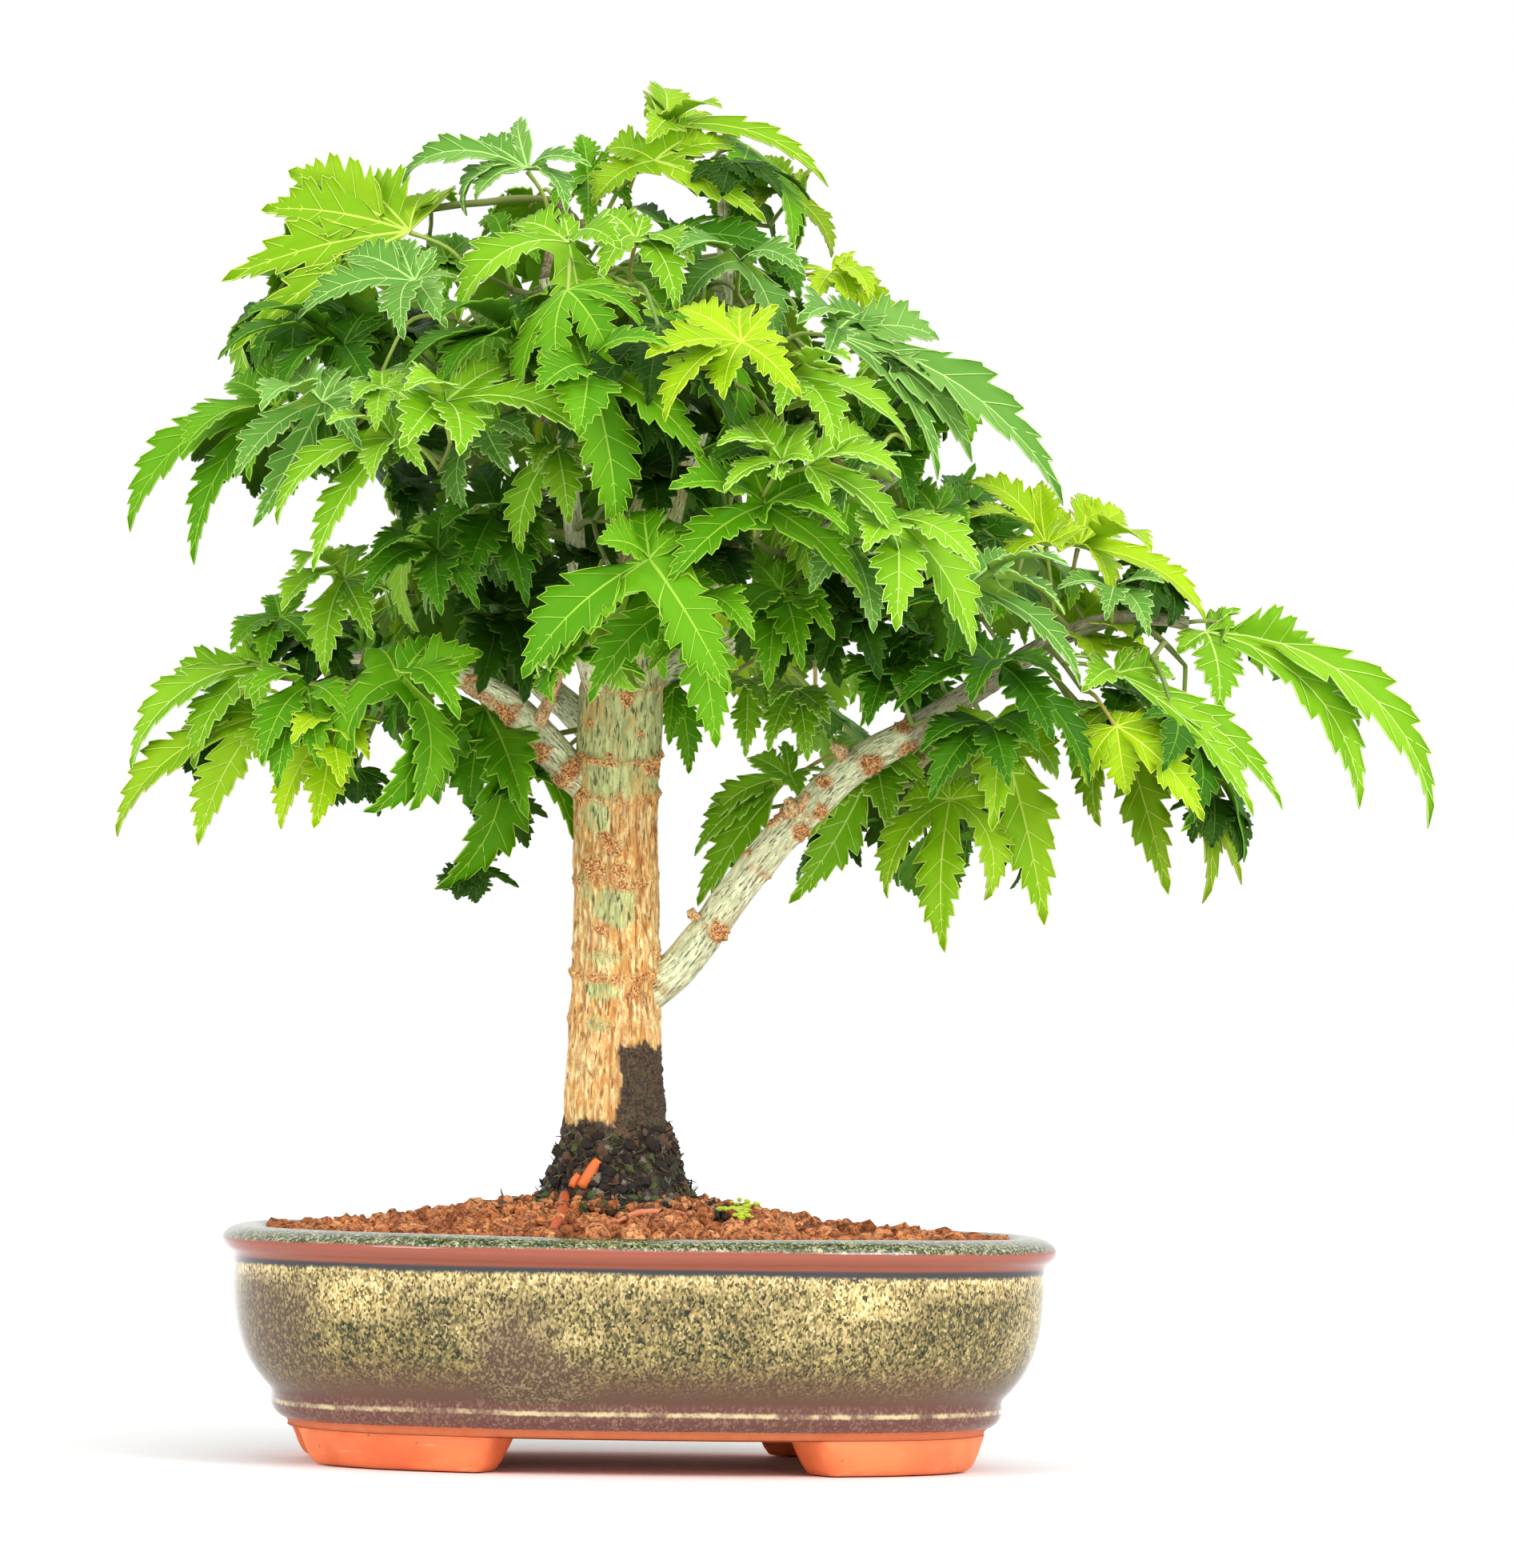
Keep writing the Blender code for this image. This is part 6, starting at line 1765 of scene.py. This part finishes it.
def grow_twigs(foliage):
    """Joins every leaf's stalk to the nearest limb or twig, nearest first, and thickens each twig by what it carries."""
    local = np.random.default_rng(909)
    starts = limb_starts()
    places = [p for p in starts]
    parent = [-1] * len(places)
    reach = [0.0] * len(places)
    feet = []
    for centre, lobes, size, tint, stalk in foliage.leaves:
        if stalk is not None:
            feet.append((np.asarray(stalk, float), centre, size, tint, lobes))
            continue
        mean = unit(sum(l.ahead for l in lobes))
        normal = unit(sum(l.normal for l in lobes))
        gap = starts - centre
        nearest = starts[np.argmin((gap ** 2).sum(1))]
        back = unit(unit(nearest - centre) * 0.9 - mean * 0.8 - normal * 0.15)
        length = min(np.linalg.norm(nearest - centre) * 0.7, local.uniform(15, 23))
        for _ in range(5):
            if not in_sky(centre + back * length + np.array([0, 0, -1.5]), 2):
                break
            length *= 0.75
        feet.append((centre + back * length + np.array([0, 0, -1.5]), centre, size, tint, lobes))
    order = sorted(range(len(feet)), key=lambda i: float(np.min(np.linalg.norm(starts - feet[i][0], axis=1))))
    ends = [None] * len(feet)
    paths = []
    for i in order:
        foot = feet[i][0]
        cloud = np.array(places)
        gap = np.linalg.norm(cloud - foot, axis=1)
        climb = np.clip((cloud[:, 2] - foot[2]) / np.maximum(gap, 1e-6), -1, 1)
        cost = gap * (1 + 0.25 * np.clip(climb, 0, 1)) + 0.12 * np.array(reach)
        near = np.argsort(cost)[:40]
        best = int(near[0])
        fewest = 9
        for k in near:
            crossed = sum(in_sky(cloud[k] * (1 - t) + foot * t, 0) for t in (0.15, 0.3, 0.45, 0.6, 0.75, 0.9))
            if crossed < fewest:
                best, fewest = int(k), crossed
            if fewest == 0:
                break
        length = gap[best]
        steps = max(1, int(length / 5.5))
        bow = np.array([local.normal() * 0.04, local.normal() * 0.05, 0.05 + local.normal() * 0.03]) * length
        path = [best]
        for k in range(1, steps + 1):
            t = k / steps
            p = cloud[best] * (1 - t) + foot * t + bow * 4 * t * (1 - t) * 0.8
            if k < steps:
                p = p + local.normal(size=3) * 0.35
            places.append(p)
            parent.append(path[-1])
            reach.append(reach[path[-1]] + length / steps)
            path.append(len(places) - 1)
        ends[i] = path[-1]
        paths.append(path)
    load = np.zeros(len(places))
    for end in ends:
        node = end
        while node >= 0:
            load[node] += 1
            node = parent[node]
    radius = 0.50 * np.maximum(load, 1) ** 0.40
    twigs = Gather()
    for path in paths:
        if len(path) < 2:
            continue
        line = np.array([places[k] for k in path])
        radii = np.array([radius[k] for k in path])
        radii[0] = min(radii[0], radii[1] * 1.15, 1.9)
        radii = np.minimum(radii, 1.9)
        dense = smooth_line(np.column_stack([line, radii]), 2.4)
        points, triangles = tube(dense[:, :3], dense[:, 3], 7)
        index = np.full(len(triangles), 0 if radii.mean() > 0.95 else 1)
        twigs.add(points, triangles, index)
    for i, (foot, centre, size, tint, lobes) in enumerate(feet):
        mean = unit(sum(l.ahead for l in lobes))
        normal = unit(sum(l.normal for l in lobes))
        end = np.array(places[ends[i]])
        gap = np.linalg.norm(centre - end)
        middle = (end + centre) / 2 - mean * gap * 0.10 + np.array([0, 0, 0.12 * gap])
        line = smooth_line([end, middle, centre - normal * 0.5], 1.8)
        radii = np.linspace(0.55, 0.42, len(line))
        radii[-3:] = (0.46, 0.56, 0.62)
        points, triangles = tube(line, radii, 6)
        kind = 1 if tint in ("shade", "deep") else 0 if (i % 4) else 2
        foliage.stalks.add(points, triangles, np.full(len(triangles), kind))
    return twigs


def leaf_material(name, colour, rough, glow=0.0):
    mat = new_material(name, colour, rough)
    shader = mat.node_tree.nodes["Principled BSDF"]
    shader.inputs["Specular IOR Level"].default_value = 0.11
    if glow:
        shader.inputs["Subsurface Weight"].default_value = glow
        shader.inputs["Subsurface Radius"].default_value = (0.6, 1.0, 0.15)
        shader.inputs["Subsurface Scale"].default_value = 0.0016
    return mat


def make_foliage():
    foliage = Foliage()
    for number, (tint, centre, size, facing, tips) in enumerate(FRONT_LEAVES):
        front_leaf(foliage, number, tint, centre, size, facing, tips)
    print("front leaves", len(foliage.leaves))
    print("fill leaves", fill_masses(foliage))
    twigs = grow_twigs(foliage)
    blade_mats, vein_mats = [], []
    for name, (top, lit_half, under, margin, vein) in TINTS.items():
        blade_mats += [
            leaf_material(f"leaf_{name}", top, 0.46, 0.10), leaf_material(f"leaf_{name}_second", lit_half, 0.50, 0.10),
            leaf_material(f"leaf_{name}_under", under, 0.62, 0.10), leaf_material(f"leaf_{name}_margin", margin, 0.5),
        ]
        vein_mats.append(leaf_material(f"vein_{name}", vein, 0.5))
    nodes = [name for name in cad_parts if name.startswith("foliage_")]
    for k, gather in enumerate(foliage.blades):
        blades = gather.piece(f"leaf_blades_{k + 1}", blade_mats, "leaf")
        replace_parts(blades, *nodes)
    for k, gather in enumerate(foliage.veins):
        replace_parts(gather.piece(f"leaf_veins_{k + 1}", vein_mats, "leaf"), *nodes)
    stalk_mats = [new_material("stalk_green", (0.36, 0.47, 0.07), 0.45), new_material("stalk_shaded", (0.16, 0.26, 0.04), 0.5), new_material("stalk_warm", (0.48, 0.40, 0.08), 0.45)]
    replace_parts(foliage.stalks.piece("leaf_stalks", stalk_mats, "leaf"), *nodes)
    wood = bark_material("twig_bark", (0.40, 0.36, 0.19), (0.42, 0.27, 0.12), (0.4, 0.16, 0.05), (0.7, 0.4, 0.2), (0.27, 0.30, 0.12), (0.14, 0.07, 0.03), grained=False)
    green = new_material("twig_green", (0.22, 0.26, 0.06), 0.55)
    twigs.piece("twigs", [wood, green], "young_bark")
    print("triangles", sum(g.total() for g in foliage.blades), sum(g.total() for g in foliage.veins), foliage.stalks.total(), twigs.total())


# ---- floor, light ------------------------------------------------------------

def make_stage():
    plane = bpy.data.meshes.new("floor")
    reach = 6.0
    plane.from_pydata([(-reach, -reach, 0), (reach, -reach, 0), (reach, reach, 0), (-reach, reach, 0)], [], [(0, 1, 2, 3)])
    floor = bpy.data.objects.new("floor", plane)
    plane.materials.append(new_material("floor", (0.92, 0.92, 0.92), 0.8))
    bpy.context.scene.collection.objects.link(floor)
    floor.location = (0, 0, -0.0002)
    world = bpy.data.worlds.new("studio")
    world.use_nodes = True
    world.node_tree.nodes["Background"].inputs[0].default_value = (1.0, 1.0, 1.0, 1.0)
    world.node_tree.nodes["Background"].inputs[1].default_value = 1.0
    bpy.context.scene.world = world
    bpy.context.scene.view_settings.view_transform = "Standard"

    def panel(name, at, look, width, height, power):
        data = bpy.data.lights.new(name, "AREA")
        data.shape, data.size, data.size_y, data.energy = "RECTANGLE", width, height, power
        obj = bpy.data.objects.new(name, data)
        obj.location = at
        obj.rotation_euler = (Vector(look) - Vector(at)).to_track_quat("-Z", "Y").to_euler()
        bpy.context.scene.collection.objects.link(obj)

    panel("key_right", (1.05, -1.25, 1.05), (0.0, 0.0, 0.14), 0.7, 0.7, 14.0)
    panel("key_left", (-1.15, -1.15, 0.85), (0.0, 0.0, 0.14), 0.6, 0.6, 8.0)
    sun = bpy.data.lights.new("overhead", "SUN")
    sun.energy, sun.angle = 0.9, math.radians(50)
    above = bpy.data.objects.new("overhead", sun)
    above.rotation_euler = (math.radians(24), math.radians(12), 0.0)
    bpy.context.scene.collection.objects.link(above)


make_camera()
make_pot()
make_soil()
make_wood()
make_collar()
make_foliage()
make_stage()
